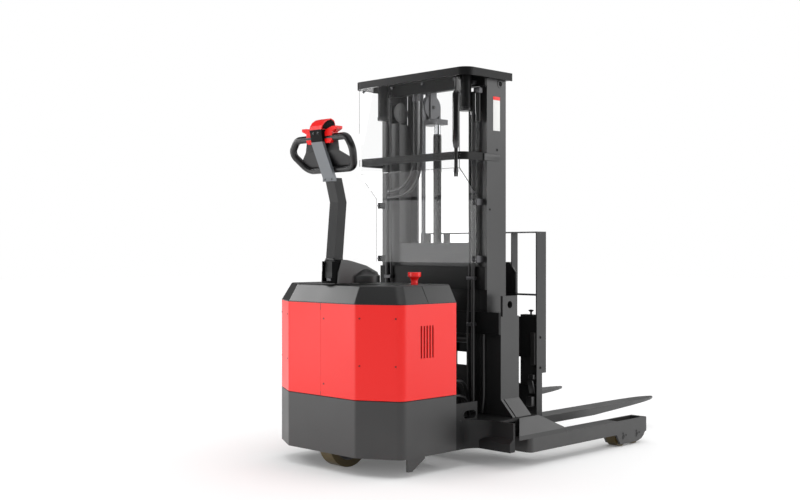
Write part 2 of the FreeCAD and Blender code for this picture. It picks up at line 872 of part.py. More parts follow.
def make_base():
    """Cross frame that joins the body, the mast and the two legs."""
    wall = box((at("base_rear_x"), at("base_rear_x + base_wall")), ("-leg_outer", "leg_outer"),
               ("skirt_bottom", "base_top"))
    lid = box((at("base_rear_x"), at("mast_x")), ("-leg_inner", "leg_inner"),
              ("base_top - base_wall", "base_top"))
    front = box((at("mast_x - base_wall"), at("mast_x")), ("-leg_inner", "leg_inner"), ("base_low", "base_top"))
    foot = box((at("mast_x - 1"), at("cylinder_x + cylinder_radius")), ("-foot_half_width", "foot_half_width"),
               ("cylinder_foot - foot_thick", "cylinder_foot"))
    pieces = [wall, lid, front, foot]
    for low, high in (("mast_half_width", "leg_inner"), ("-leg_inner", "-mast_half_width")):
        pieces.append(box((at("mast_x - 1"), at("root_front_x")), (low, high), ("base_low", "base_top")))
    side = make_base_side()
    named("base_frame", fuse(*pieces, side, mirrored(side)))


def make_base_side():
    """Left side plate with its oval slot, the round bend that joins it to the cross wall, and the lip."""
    outer, inner = "body_half_width", "body_half_width - skirt_wall"
    plate = box((at("body_length"), at("base_rear_x + 1")), (inner, outer), ("skirt_bottom", "side_plate_top"))
    across = (f"{inner} - 1", "skirt_wall + 2")
    ends = [
        cylinder("y", "slot_radius", *across, at(f"base_rear_x - slot_back {way} slot_half"), "slot_z") for way in ("-", "+")
    ]
    middle = box((at("base_rear_x - slot_back - slot_half"), at("base_rear_x - slot_back + slot_half")), (f"{inner} - 1", f"{outer} + 1"),
                 ("slot_z - slot_radius", "slot_z + slot_radius"))
    levels = ("skirt_bottom", "base_top")
    block = box((at("base_rear_x - bend_radius"), at("base_rear_x + 1")), (inner, f"{outer} + bend_radius"), levels)
    bend = cylinder("z", "bend_radius", "skirt_bottom - 1", "base_top - skirt_bottom + 2",
                    at("base_rear_x - bend_radius"), f"{outer} + bend_radius")
    lip = prism("XZ", [
        (at("base_rear_x - lip_depth"), "skirt_bottom"),
        (at("base_rear_x - lip_depth"), "lip_low"),
        (at("base_rear_x"), "lip_high"),
        (at("base_rear_x + 1"), "lip_high"),
        (at("base_rear_x + 1"), "skirt_bottom"),
    ], f"{inner}", "leg_outer")
    return fuse(cut(plate, *ends, middle), cut(block, bend), lip)


def make_leg():
    """Straddle leg with an open tip box and the two axles of its load wheels."""
    beam = box((at("mast_x - beam_depth"), at("leg_beam_end_x")), ("leg_inner", "leg_outer"),
               ("base_low", "leg_top"))
    lid = box((at("leg_beam_end_x - 1"), at("leg_open_x")), ("leg_inner", "leg_outer"),
              ("leg_top - leg_lid", "leg_top"))
    end = box((at("leg_tip_x - leg_end_plate"), at("leg_tip_x")), ("leg_inner", "leg_outer"),
              ("tip_front_low", "leg_top"))
    side = [
        (at("leg_beam_end_x"), "leg_top"),
        (at("leg_beam_end_x"), "base_low"),
        (at("leg_beam_end_x + tip_slope"), "tip_ground"),
        (at("leg_tip_x - leg_end_plate / 2 - tip_curve"), "tip_ground"),
        (at("leg_tip_x - leg_end_plate / 2 - tip_curve / 2"), "tip_ground + 0.22 * (tip_front_low - tip_ground)"),
        (at("leg_tip_x - leg_end_plate / 2 - tip_curve / 5"), "tip_ground + 0.56 * (tip_front_low - tip_ground)"),
        (at("leg_tip_x - leg_end_plate / 2"), "tip_front_low"),
        (at("leg_tip_x"), "tip_front_low"),
        (at("leg_tip_x"), "leg_top"),
    ]
    plates = [
        prism("XZ", side, "leg_inner", "leg_inner + tip_wall"),
        prism("XZ", side, "leg_outer - tip_wall", "leg_outer"),
    ]
    axles = [
        cylinder("y", "load_axle_radius", "leg_inner", "leg_outer - leg_inner", x, "load_radius")
        for x in (at("load_rear_x"), at("load_rear_x + load_spacing"))
    ]
    doc.recompute()
    rear = beam.Shape.BoundBox

    def outer_corner(edge):
        corner = edge.Vertexes[0].Point
        return upright(edge) and abs(corner.x - rear.XMin) < 0.01 and abs(corner.y - rear.YMax) < 0.01

    both_sides("straddle_leg", fuse(rounded(beam, size("leg_round"), outer_corner), lid, end, *plates, *axles))


def make_load_wheels():
    """Four load wheels, a front and a rear one in each leg."""
    middle = "(leg_inner + leg_outer) / 2"
    for label, x in (("rear", at("load_rear_x")), ("front", at("load_rear_x + load_spacing"))):
        tread = cylinder("y", "load_radius", f"{middle} - load_width / 2", "load_width", x, "load_radius")
        bore = cylinder("y", "load_axle_radius + run_clear", f"{middle} - load_width", "2 * load_width",
                        x, "load_radius")
        both_sides(f"load_wheel_{label}", cut(tread, bore))


def make_mast_foot():
    """Post beside the mast, with its lifting ear, gusset, sloping brace and the wing over the leg."""
    front_x = at("post_rear_x + post_length")
    post = box((at("post_rear_x"), front_x), ("mast_half_width", "post_outer"), ("base_top", "post_top"))
    gusset = prism("YZ", [
        ("mast_half_width", "base_top"),
        ("brace_outer", "base_top"),
        ("post_outer", "brace_top"),
        ("post_outer", "post_top"),
        ("mast_half_width", "post_top"),
    ], at("mast_x"), at("post_rear_x + 1"))
    ear = box((at("ear_x"), at("ear_x + ear_length")), ("post_outer - ear_thick", "post_outer"),
              ("post_top - 1", "ear_top"))
    hole = cylinder("y", "ear_hole_radius", "post_outer - 2 * ear_thick", "3 * ear_thick",
                    at("ear_x + ear_length / 2"), "ear_hole_z")
    brace = prism("YZ", [
        ("post_outer", "brace_top"),
        ("brace_outer", "base_top"),
        ("brace_outer - brace_thick", "base_top"),
        ("post_outer - 1", "brace_top - brace_thick"),
    ], at("post_rear_x + brace_thick"), front_x)
    wing = common(
        prism("YZ", [
            ("leg_inner", "wing_high"),
            ("leg_outer", "wing_low"),
            ("leg_outer", "leg_top"),
            ("leg_outer - wing_thick", "leg_top"),
            ("leg_outer - wing_thick", "wing_low - wing_thick"),
            ("leg_inner", "wing_high - wing_thick"),
        ], at("wing_outer_rear_x"), at("wing_outer_front_x")),
        prism("XY", [
            (at("wing_inner_rear_x"), "leg_inner"),
            (at("root_front_x"), "leg_inner"),
            (at("wing_outer_front_x"), "leg_outer"),
            (at("wing_outer_rear_x"), "leg_outer"),
        ], "leg_top", "wing_high"))
    both_sides("mast_foot", fuse(cut(fuse(post, gusset, ear), hole), brace, wing))


def channel(x, depth, outer, width, web, flange, low, high):
    """A rail of channel section that opens towards the middle of the truck."""
    levels = (low, high)
    back = box((x, f"{x} + {depth}"), (f"{outer} - {web}", outer), levels)
    lips = [
        box((x, f"{x} + {flange}"), (f"{outer} - {width}", outer), levels),
        box((f"{x} + {depth} - {flange}", f"{x} + {depth}"), (f"{outer} - {width}", outer), levels),
    ]
    return fuse(back, *lips)


def make_outer_mast():
    """Outer rails with the rollers at their tops, and the cross beams behind them."""
    rail = channel(at("mast_x"), "rail_depth", "mast_half_width", "rail_width",
                   "rail_web", "rail_flange", "mast_low", "mast_top")
    roller_y = "inner_web_y + inner_web + moving_gap"
    roller = cylinder("y", "top_roller_radius", roller_y, f"mast_half_width - rail_web / 2 - ({roller_y})",
                      at("inner_x + inner_depth / 2"), "top_roller_z")
    both_sides("mast_outer", fuse(rail, roller))
    across = (at("mast_x - beam_depth"), at("mast_x"))
    beams = [
        box(across, ("-post_outer", "post_outer"), ("beam_low_bottom", "beam_low_top")),
        box(across, ("-mast_half_width", "mast_half_width"), ("beam_mid_bottom", "beam_mid_top")),
        box(across, ("-mast_half_width", "mast_half_width"), ("beam_high_bottom", "guard_top - guard_roof")),
    ]
    named("mast_beams", fuse(*beams))


def band(rear, front, half_width, wall, low, high):
    """A flat bar bent round two rounded rear corners, and the block that it goes round."""
    hollow_half = f"{half_width} - {wall}"
    block = box((rear, front), (f"-{half_width}", half_width), (low, high))
    hollow = box((f"{rear} + {wall}", f"{front} + 1"), (f"-{half_width} + {wall}", hollow_half),
                 (f"{low} - 1", f"{high} + 1"))
    doc.recompute()
    solids = []
    for shape, radius in ((block, size("guard_corner")), (hollow, size("guard_corner") - size(wall))):
        rear_place = shape.Shape.BoundBox.XMin

        def at_rear(edge, rear_place=rear_place):
            return upright(edge) and abs(edge.Vertexes[0].Point.x - rear_place) < 0.001

        solids.append(rounded(shape, radius, at_rear))
    return solids[0], cut(solids[0], solids[1])


def make_guards():
    """Top guard with its roof and bumpers, and the middle guard bar."""
    high = "guard_top"
    block, rim = band(at("guard_rear_x"), at("guard_front_x"), "guard_half_width", "guard_wall",
                      "mast_top", high)
    roof_zone = box((at("guard_rear_x"), at("mast_x")), ("-guard_half_width", "guard_half_width"),
                    (f"{high} - guard_roof", high))
    roof = common(block, roof_zone)
    lands = []
    for low_y, high_y in (("mast_half_width - rail_width", "guard_half_width - guard_wall / 2"),
                          ("-guard_half_width + guard_wall / 2", "-mast_half_width + rail_width")):
        lands.append(box((at("mast_x"), at("mast_x + rail_depth")), (low_y, high_y),
                         ("mast_top", "mast_top + guard_roof")))
    bumpers = []
    for y in ("bumper_y", "-bumper_y"):
        bumpers.append(cylinder("z", "bumper_radius", "bumper_low", f"{high} - guard_roof / 2 - bumper_low",
                                at("bumper_x"), y))
    named("top_guard", fuse(rim, roof, *lands, *bumpers))
    _, bar = band(at("guard_rear_x + screen_thick + seat_gap"), at("mast_x"), "mast_half_width",
                  "guard_wall", "mid_guard_low", "mid_guard_low + mid_guard_height")
    named("mid_guard", bar)


def make_screen():
    """Clear sheet with two folds under the top guard, and the clips that hold it to the mast."""
    profile = [
        (at("guard_rear_x"), "mast_top - seat_gap"),
        (at("guard_rear_x"), "screen_fold_high"),
        (at("screen_low_x"), "screen_fold_low"),
        (at("screen_low_x"), "screen_bottom"),
        (at("screen_low_x + screen_thick"), "screen_bottom"),
        (at("screen_low_x + screen_thick"), "screen_fold_low + screen_thick / 2"),
        (at("guard_rear_x + screen_thick"), "screen_fold_high + screen_thick / 2"),
        (at("guard_rear_x + screen_thick"), "mast_top - seat_gap"),
    ]
    named("screen", prism("XZ", profile, "-screen_half_width", "screen_half_width"))
    clips = []
    for low_y, high_y in (("clip_y", "clip_y + clip_width"), ("-clip_y - clip_width", "-clip_y")):
        for z in ("clip_high_z", "clip_low_z"):
            clips.append(box((at("screen_low_x + screen_thick"), at("mast_x")), (low_y, high_y),
                             (z, f"{z} + clip_height")))
    named("screen_clips", fuse(*clips))


def make_lift_cylinder():
    """Lift cylinder on its foot, and the rod that carries the inner mast."""
    x = at("cylinder_x")
    tube = cylinder("z", "cylinder_radius", "cylinder_foot", "cylinder_top - cylinder_foot", x, "0")
    bore = cylinder("z", "cylinder_bore", "cylinder_foot + foot_thick", "cylinder_top", x, "0")
    named("lift_cylinder", cut(tube, bore))
    head_low = "inner_top - head_block_height"
    named("lift_rod", cylinder("z", "rod_radius", "rod_low", f"{head_low} - rod_low", x, "0"))


def make_inner_mast():
    """Inner rails of I section with their ties and guide rollers; the front flanges run up to the top tie."""
    levels = ("inner_low", "inner_top")
    x0, x1 = at("inner_x"), at("inner_x + inner_depth")
    pieces = []
    for side in (1, -1):
        def across(low, high, side=side):
            return (low, high) if side > 0 else (f"-({high})", f"-({low})")

        pieces.append(box((x0, x1), across("inner_web_y", "inner_web_y + inner_web"), levels))
        flange_y = across("inner_outer - inner_width", "inner_outer")
        pieces.append(box((x0, at("inner_x + rail_flange")), flange_y, levels))
        pieces.append(box((at("inner_x + inner_depth - rail_flange"), x1), flange_y, ("inner_low", "flange_top")))
        roller_y = across("inner_web_y + inner_web + moving_gap", "inner_web_y + inner_web + moving_gap + roller_width")
        stub_y = across("inner_web_y", "inner_web_y + inner_web + moving_gap + 1")
        middle = at("mast_x + rail_depth / 2")
        for z in ("roller_low_z", "roller_high_z"):
            pieces.append(cylinder("y", "rail_depth / 2 - rail_flange - roller_gap", roller_y[0],
                                   "roller_width", middle, z))
            pieces.append(cylinder("y", "stub_radius", stub_y[0], f"({stub_y[1]}) - ({stub_y[0]})", middle, z))
    inner_y = ("-inner_outer + inner_width - 1", "inner_outer - inner_width + 1")
    tie_x = (x0, at("inner_x + tie_thick"))
    for z, height in (("inner_low", "tie_height"), ("tie_mid_z", "tie_mid_height")):
        pieces.append(box(tie_x, inner_y, (z, f"{z} + {height}")))
    front = "inner_x + inner_depth - rail_flange"
    pieces.append(box((at(f"{front} - top_tie_depth"), at(f"{front} + 1")), inner_y,
                      ("flange_top - top_tie_height", "flange_top")))
    named("mast_inner", fuse(*pieces))


def make_crosshead():
    """Block on top of the rod, with the cheeks that hold the chain's sheave."""
    side = "(sheave_width / 2 + cheek_thick)"
    block = box((at("inner_x"), at("inner_x + head_block_depth")), ("-head_block_right", f"sheave_y + {side}"),
                ("inner_top - head_block_height", "inner_top"))
    notch = box((at("inner_x - 1"), at("inner_x + chain_thick + moving_gap")),
                ("sheave_y - sheave_width / 2", "sheave_y + sheave_width / 2"),
                ("inner_top - 2 * head_block_height", "inner_top + 1"))
    cheeks = []
    for low, high in ((f"sheave_y - {side}", "sheave_y - sheave_width / 2"),
                      ("sheave_y + sheave_width / 2", f"sheave_y + {side}")):
        cheeks.append(box((at("sheave_x - cheek_width / 2"), at("sheave_x + cheek_width / 2")), (low, high),
                          ("inner_top - 1", "cheek_top")))
    return fuse(cut(block, notch), *cheeks)


def make_lift_chain():
    """Crosshead and its sheave, with the chain that runs over it and down on both sides."""
    x = at("sheave_x")
    half = "sheave_width / 2"
    hub = cylinder("y", "chain_radius - chain_thick", f"sheave_y - {half}", "sheave_width", x, "sheave_z")
    rims = [
        cylinder("y", "sheave_radius", start, "(sheave_width - chain_width) / 2", x, "sheave_z")
        for start in (f"sheave_y - {half}", "sheave_y + chain_width / 2")
    ]
    across = ("sheave_y - chain_width / 2", "sheave_y + chain_width / 2")
    wrap = cylinder("y", "chain_radius", across[0], "chain_width", x, "sheave_z")
    upper = box((at("sheave_x - chain_radius - 1"), at("sheave_x + chain_radius + 1")), across,
                ("sheave_z", "sheave_z + chain_radius + 1"))
    runs = []
    for start, low in (("sheave_x - chain_radius", "tie_mid_z + tie_mid_height"),
                       ("sheave_x + chain_radius - chain_thick", "chain_front_low")):
        runs.append(box((at(start), at(f"{start} + chain_thick")), across, (low, "sheave_z + 1")))
    named("lift_chain", fuse(make_crosshead(), hub, *rims, common(wrap, upper), *runs))


def make_carriage():
    """Reach carriage: two side plates on rollers, with the roller tracks and upper arm pins."""
    outer_y = "carriage_plate_y + carriage_plate"
    profile = [
        (at("carriage_rear_x"), "carriage_low"),
        (at("carriage_front_x"), "carriage_low"),
        (at("carriage_front_x"), "carriage_top - link_width / 2"),
        (at("carriage_front_x - link_width / 2"), "carriage_top"),
        (at("carriage_step_x"), "carriage_top"),
        (at("carriage_step_x"), "carriage_rear_top"),
        (at("carriage_rear_x"), "carriage_rear_top"),
    ]
    pieces = []
    for side in (1, -1):
        def across(low, high, side=side):
            return (low, high) if side > 0 else (f"-({high})", f"-({low})")

        plate_y = across("carriage_plate_y", outer_y)
        plate = prism("XZ", profile, *plate_y)
        pieces.append(cut(plate, track(at("arm_pin_x"), "arm_low_z", plate_y)))
        pin_y = across("outer_link_y - 1", outer_y)
        pieces.append(cylinder("y", "link_pin_radius", pin_y[0], f"({pin_y[1]}) - ({pin_y[0]})",
                               at("arm_pin_x"), "arm_pin_z"))
        middle = at("inner_x + inner_depth / 2")
        roller_y = across("inner_web_y - 1 - carriage_roller_width", "inner_web_y - 1")
        stub_y = across("carriage_plate_y", "inner_web_y - carriage_roller_width")
        for z in ("carriage_roller_low_z", "carriage_roller_high_z"):
            pieces.append(cylinder("y", "inner_depth / 2 - rail_flange - roller_gap", roller_y[0],
                                   "carriage_roller_width", middle, z))
            pieces.append(cylinder("y", "stub_radius", stub_y[0], f"({stub_y[1]}) - ({stub_y[0]})", middle, z))
    for levels in (("carriage_low", "carriage_tie_low_top"), ("carriage_tie_bottom", "carriage_top")):
        pieces.append(box((at("carriage_step_x"), at("carriage_step_x + carriage_tie")),
                          ("-carriage_plate_y - 1", "carriage_plate_y + 1"), levels))
    named("carriage", fuse(*pieces))


def track(x, low_z, across):
    """Upright slot for a roller, as a tool that cuts through a plate."""
    radius = "(track_roller_radius + roller_gap)"
    y = (f"{across[0]} - 1", f"{across[1]} + 1")
    length = f"({y[1]}) - ({y[0]})"
    ends = [
        cylinder("y", radius, y[0], length, x, z)
        for z in (f"{low_z} - moving_gap", f"{low_z} + track_travel")
    ]
    middle = box((f"{x} - {radius}", f"{x} + {radius}"), y, (f"{low_z} - moving_gap", f"{low_z} + track_travel"))
    return fuse(*ends, middle)


def link(low_y, bores):
    """A flat link that hangs from its upper pin at the origin, with bores at the given depths."""
    high_y = f"{low_y} + link_thick"
    length = "link_thick"
    bar = box(("-link_width / 2", "link_width / 2"), (low_y, high_y), ("-arm_length", "0"))
    ends = [cylinder("y", "link_width / 2", low_y, length, "0", z) for z in ("0", "-arm_length")]
    holes = [
        cylinder("y", "link_pin_radius + run_clear", f"{low_y} - 1", f"{length} + 2", "0", z)
        for z in bores
    ]
    return cut(fuse(bar, *ends), *holes)


def make_pantograph():
    """The two crossed pairs of arms. Each end that has no fixed pin ends in a roller in a track."""
    lean = "asin(arm_spread / arm_length)"
    outer = []
    inner = []
    for sign in (1, -1):
        def across(low, high, sign=sign):
            return (low, high) if sign > 0 else (f"-({high})", f"-({low})")

        outer_y = across("outer_link_y", "outer_link_y + link_thick")
        inner_y = across("inner_link_y", "inner_link_y + link_thick")
        outer.append(link(outer_y[0], ["0"]))
        inner.append(link(inner_y[0], ["0", "-arm_length / 2"]))
        hub_y = across("inner_link_y - moving_gap", "outer_link_y + 1")
        outer.append(cylinder("y", "link_pin_radius", hub_y[0], f"({hub_y[1]}) - ({hub_y[0]})",
                              "0", "-arm_length / 2"))
        frame_y = across("frame_plate_y", "frame_plate_y + frame_plate")
        outer.append(cylinder("y", "track_roller_radius", frame_y[0], "frame_plate", "0", "-arm_length"))
        carriage_y = across("carriage_plate_y", "carriage_plate_y + carriage_plate")
        inner.append(cylinder("y", "track_roller_radius", carriage_y[0], "carriage_plate", "0", "-arm_length"))
        pin_y = across("inner_link_y + 1", "carriage_plate_y + 1")
        inner.append(cylinder("y", "link_pin_radius", pin_y[0], f"({pin_y[1]}) - ({pin_y[0]})",
                              "0", "-arm_length"))
    outer.append(cylinder("y", "link_pin_radius", "-outer_link_y - 1", "2 * outer_link_y + 2",
                          "0", "-arm_length"))
    tube = cut(
        cylinder("y", "hub_tube_radius", "-inner_link_y - 1", "2 * inner_link_y + 2", "0", "-arm_length / 2"),
        cylinder("y", "link_pin_radius + run_clear", "-inner_link_y - 2", "2 * inner_link_y + 4",
                 "0", "-arm_length / 2"))
    inner.append(tube)
    for label, pieces, x, way in (
        ("reach_arms_outer", outer, at("arm_pin_x"), "-"),
        ("reach_arms_inner", inner, at("arm_pin_x + arm_spread"), ""),
    ):
        pair = fuse(*pieces)
        pair.Placement = FreeCAD.Placement(FreeCAD.Vector(), FreeCAD.Rotation(FreeCAD.Vector(0, 1, 0), 10))
        place(pair, x, "0", "arm_pin_z")
        bind(pair, Placement__Rotation__Angle=f"{way}{lean}")
        named(label, pair)


def make_fork_frame():
    """Fork frame with its roller tracks, fork bars and shoulder panel, and the load backrest on it."""
    bar_rear = "rest_front_x - fork_shank - bar_thick"
    frame = []
    plates = []
    rest = []
    for side in (1, -1):
        def across(low, high, side=side):
            return (low, high) if side > 0 else (f"-({high})", f"-({low})")

        plate_y = across("frame_plate_y", "frame_plate_y + frame_plate")
        plate = box((at("frame_rear_x"), at(f"{bar_rear} + 1")), plate_y, ("frame_low", "frame_plate_top"))
        plates.append(plate)
        frame.append(cut(plate, track(at("arm_pin_x + arm_spread"), "arm_low_z", plate_y)))
        pin_y = across("frame_plate_y + 1", "inner_link_y + link_thick")
        frame.append(cylinder("y", "link_pin_radius", pin_y[0], f"({pin_y[1]}) - ({pin_y[0]})",
                              at("arm_pin_x + arm_spread"), "arm_pin_z"))
        side_y = across("rest_half_width - rest_bar", "rest_half_width")
        rest.append(box((at("rest_rear_x"), at("rest_front_x")), side_y, ("rest_wide_low", "rest_top")))
        rest.append(box((at("rest_rear_x"), at("rest_rear_x + rest_narrow")), side_y,
                        ("frame_low", "rest_wide_low + 1")))
        upright_y = across("rest_upright_y", "rest_upright_y + rest_bar")
        rest.append(box((at("rest_rear_x + rest_bar"), at("rest_rear_x + rest_bar + rest_upright_depth")),
                        upright_y, ("rest_cross_z", "rest_top")))
    full = ("-rest_half_width", "rest_half_width")
    depth = (at("rest_rear_x"), at("rest_front_x"))
    rest += [box(depth, full, (z, f"{z} + rest_bar")) for z in ("rest_top - rest_bar", "rest_cross_z")]
    between = ("-rest_half_width + rest_bar", "rest_half_width - rest_bar")
    for levels in (("bar_low_bottom", "bar_low_top"), ("bar_high_bottom", "bar_high_top")):
        frame.append(box((at(bar_rear), at("rest_front_x - fork_shank")), between, levels))
    left = [("panel_half", "bar_high_top - 1"), ("panel_half", "panel_shoulder"), ("panel_top_half", "panel_top")]
    panel = prism("YZ", left + [(f"-{y}", z) for y, z in reversed(left)], at(bar_rear),
                  at(f"{bar_rear} + panel_thick"))
    named("fork_frame", fuse(*frame, panel))
    named("load_backrest", cut(fuse(*rest), panel, *plates))


def make_fork():
    """Forged fork: shank, heel and a blade that thins and narrows to its tip."""
    tip = "rest_front_x + fork_length"
    profile = [
        (at("rest_front_x - fork_shank"), "fork_top - fork_heel"),
        (at("rest_front_x - fork_shank"), "fork_shank_top"),
        (at("rest_front_x"), "fork_shank_top"),
        (at("rest_front_x"), "fork_top"),
        (at(tip), "fork_top"),
        (at(tip), "fork_top - fork_tip_thick"),
        (at(f"{tip} - fork_taper"), "fork_top - fork_heel"),
    ]
    blade = prism("XZ", profile, "fork_y - fork_width / 2", "fork_y + fork_width / 2")
    half_widths = [
        (at("rest_front_x - fork_shank"), "fork_width / 2"),
        (at(f"{tip} - fork_point"), "fork_width / 2"),
        (at(f"{tip} - fork_point / 2"), "0.43 * fork_width"),
        (at(f"{tip} - fork_point / 4"), "0.34 * fork_width"),
        (at(f"{tip} - fork_point / 13"), "0.2 * fork_width"),
        (at(tip), "fork_point_half"),
    ]
    plan = [(x, f"fork_y - {half}") for x, half in half_widths]
    plan += [(x, f"fork_y + {half}") for x, half in reversed(half_widths)]
    both_sides("fork", common(blade, prism("XY", plan, "0", "fork_shank_top")))


def make_knob():
    """Red mushroom knob that cuts the power."""
    x, y = at("knob_x"), "knob_y"
    stem = cylinder("z", "knob_stem_radius", "hood_top", "knob_height - knob_head + 1", x, y)
    head = cylinder("z", "knob_radius", "hood_top + knob_height - knob_head", "knob_head", x, y)
    named("emergency_knob", fuse(stem, head))


def check():
    """Stop if any object failed to build or a sub-part has no valid solid."""
    failed = [o.Label for o in doc.Objects if {"Invalid", "Error"} & set(o.State)]
    empty = [p.Label for p in parts if p.Shape.isNull() or not p.Shape.isValid() or not p.Shape.Solids]
    if failed or empty:
        raise RuntimeError(f"failed objects: {failed}, bad sub-parts: {empty}")


def main():
    fill_sheet()
    make_skirt()
    make_covers()
    make_hood()
    make_inner_frame()
    make_masses()
    make_steered_unit()
    make_steering_cover()
    make_tiller()
    make_base()
    make_leg()
    make_load_wheels()
    make_mast_foot()
    make_outer_mast()
    make_guards()
    make_screen()
    make_lift_cylinder()
    make_inner_mast()
    make_lift_chain()
    make_carriage()
    make_pantograph()
    make_fork_frame()
    make_fork()
    make_knob()
    doc.recompute()
    check()
    os.makedirs("parts", exist_ok=True)
    for part in parts:
        part.Shape.exportStep(f"parts/{part.Label}.step")


main()
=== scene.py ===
"""Looks of a pedestrian straddle reach truck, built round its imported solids.

Lengths are in metres. +X points towards the fork tips, +Y to the truck's left and +Z up, with the
floor at Z = 0. Places along the truck are given from the body's rear face and turned into X by ahead().
"""

import logging
import math
from dataclasses import dataclass, field
from enum import Enum
from typing import Callable, Sequence

import bpy
import numpy as np
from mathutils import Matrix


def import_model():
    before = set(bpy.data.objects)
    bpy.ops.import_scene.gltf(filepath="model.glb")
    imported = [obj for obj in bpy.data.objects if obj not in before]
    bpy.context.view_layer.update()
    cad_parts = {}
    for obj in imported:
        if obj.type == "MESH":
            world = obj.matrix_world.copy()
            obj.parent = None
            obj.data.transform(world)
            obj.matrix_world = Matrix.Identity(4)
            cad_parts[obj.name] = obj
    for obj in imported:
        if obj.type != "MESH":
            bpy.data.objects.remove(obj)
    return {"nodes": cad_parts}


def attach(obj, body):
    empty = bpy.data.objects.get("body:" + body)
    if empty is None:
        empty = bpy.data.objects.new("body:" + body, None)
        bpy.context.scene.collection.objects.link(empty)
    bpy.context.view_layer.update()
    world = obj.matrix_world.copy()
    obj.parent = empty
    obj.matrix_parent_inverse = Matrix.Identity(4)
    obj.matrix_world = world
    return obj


LOG = logging.getLogger("reach_truck")

REAR_FACE = -1.0655
SHARP_ANGLE = math.radians(38)
RIM_STEPS = 3  # steps of the quarter circle on a slab's rim
PIPE_SIDES = 16
EDGE_SHARE = 0.4  # widest rounding of a box, as a share of its least side
CORNER_SHARE = 1.2  # radius of a box's upright corners, as a share of its rounding
FIRST_NORMAL = (0.31, 0.17, 0.93)  # where the first section of a sweep leans
DUST_COLOUR = (0.35, 0.33, 0.30, 1.0)
BUMP_STRENGTH = 0.6
Array = np.ndarray
Pair = tuple[float, float]
Triple = tuple[float, float, float]
Rows = Sequence[Sequence[float]]


def ahead(offset: float) -> float:
    """X of a place that lies offset metres ahead of the body's rear face."""
    return REAR_FACE + offset


class Axis(Enum):
    """The axis that a profile is carried along; its value orders (u, v, w) into X, Y, Z."""

    X = (2, 0, 1)
    Y = (0, 2, 1)
    Z = (0, 1, 2)

    def place(self, points: Array) -> Array:
        """Reorder an array of (u, v, w) points, with w along this axis, into X, Y, Z."""
        return points[..., list(self.value)]


# ---------------------------------------------------------------------------
# Surfaces
# ---------------------------------------------------------------------------


@dataclass
class Surface:
    """Vertices and faces of one mesh, gathered from patches that are grids over two parameters."""

    points: list[Array] = field(default_factory=list)
    faces: list[list[int]] = field(default_factory=list)
    count: int = 0

    def add(self, grid: Array, ring: bool = False) -> "Surface":
        """Add a grid whose rows are closed loops, so that row i joins row i + 1.

        Args:
            grid: points of shape (rows, columns, 3).
            ring: whether the last row joins the first; if not, both are closed with a flat face.

        Returns:
            This surface, so that calls can be chained.
        """
        rows, columns = grid.shape[:2]
        if signed_volume(grid) < 0:
            grid = grid[:, ::-1]
        index = np.arange(rows * columns).reshape(rows, columns) + self.count
        if ring:
            index = np.vstack([index, index[:1]])
        index = np.hstack([index, index[:, :1]])
        quads = np.stack([index[:-1, :-1], index[:-1, 1:], index[1:, 1:], index[1:, :-1]], axis=-1)
        self.faces += quads.reshape(-1, 4).tolist()
        if not ring:
            self.faces.append(index[0, :columns][::-1].tolist())
            self.faces.append(index[-1, :columns].tolist())
        self.points.append(grid.reshape(-1, 3))
        self.count += rows * columns
        return self

    def copies(self, moves: Rows) -> "Surface":
        """A new surface that holds this one at each of several places."""
        result = Surface()
        base = np.concatenate(self.points)
        for move in moves:
            result.points.append(base + np.asarray(move, float))
            result.faces += [[i + result.count for i in face] for face in self.faces]
            result.count += len(base)
        return result

    def mirrored(self) -> "Surface":
        """This surface together with its mirror image in the middle plane Y = 0."""
        base = np.concatenate(self.points)
        result = Surface([base, base * (1.0, -1.0, 1.0)], list(self.faces), 2 * len(base))
        result.faces += [[i + len(base) for i in reversed(face)] for face in self.faces]
        return result

    def join(self, *others: "Surface") -> "Surface":
        """Add other surfaces to this one."""
        for other in others:
            self.points += other.points
            self.faces += [[i + self.count for i in face] for face in other.faces]
            self.count += other.count
        return self

    def moved(self, change: Callable[[Array], Array]) -> "Surface":
        """This surface with its points put through a function."""
        return Surface([change(np.concatenate(self.points))], list(self.faces), self.count)

    def mesh(self, name: str) -> bpy.types.Object:
        """Make the Blender object, smooth but for its sharp edges."""
        data = bpy.data.meshes.new(name)
        data.from_pydata(np.concatenate(self.points).tolist(), [], self.faces)
        data.polygons.foreach_set("use_smooth", [True] * len(data.polygons))
        data.set_sharp_from_angle(angle=SHARP_ANGLE)
        data.update()
        thing = bpy.data.objects.new(name, data)
        bpy.context.scene.collection.objects.link(thing)
        return thing


def signed_volume(grid: Array) -> float:
    """Six times the volume between a grid's quads and its centre: positive if they face outwards."""
    centred = grid - grid.reshape(-1, 3).mean(axis=0)
    centred = np.concatenate([centred, centred[:, :1]], axis=1)
    a, b = centred[:-1, :-1], centred[:-1, 1:]
    c, d = centred[1:, 1:], centred[1:, :-1]
    first = np.einsum("...i,...i->...", a, np.cross(b, c))
    second = np.einsum("...i,...i->...", a, np.cross(c, d))
    return float((first + second).sum())


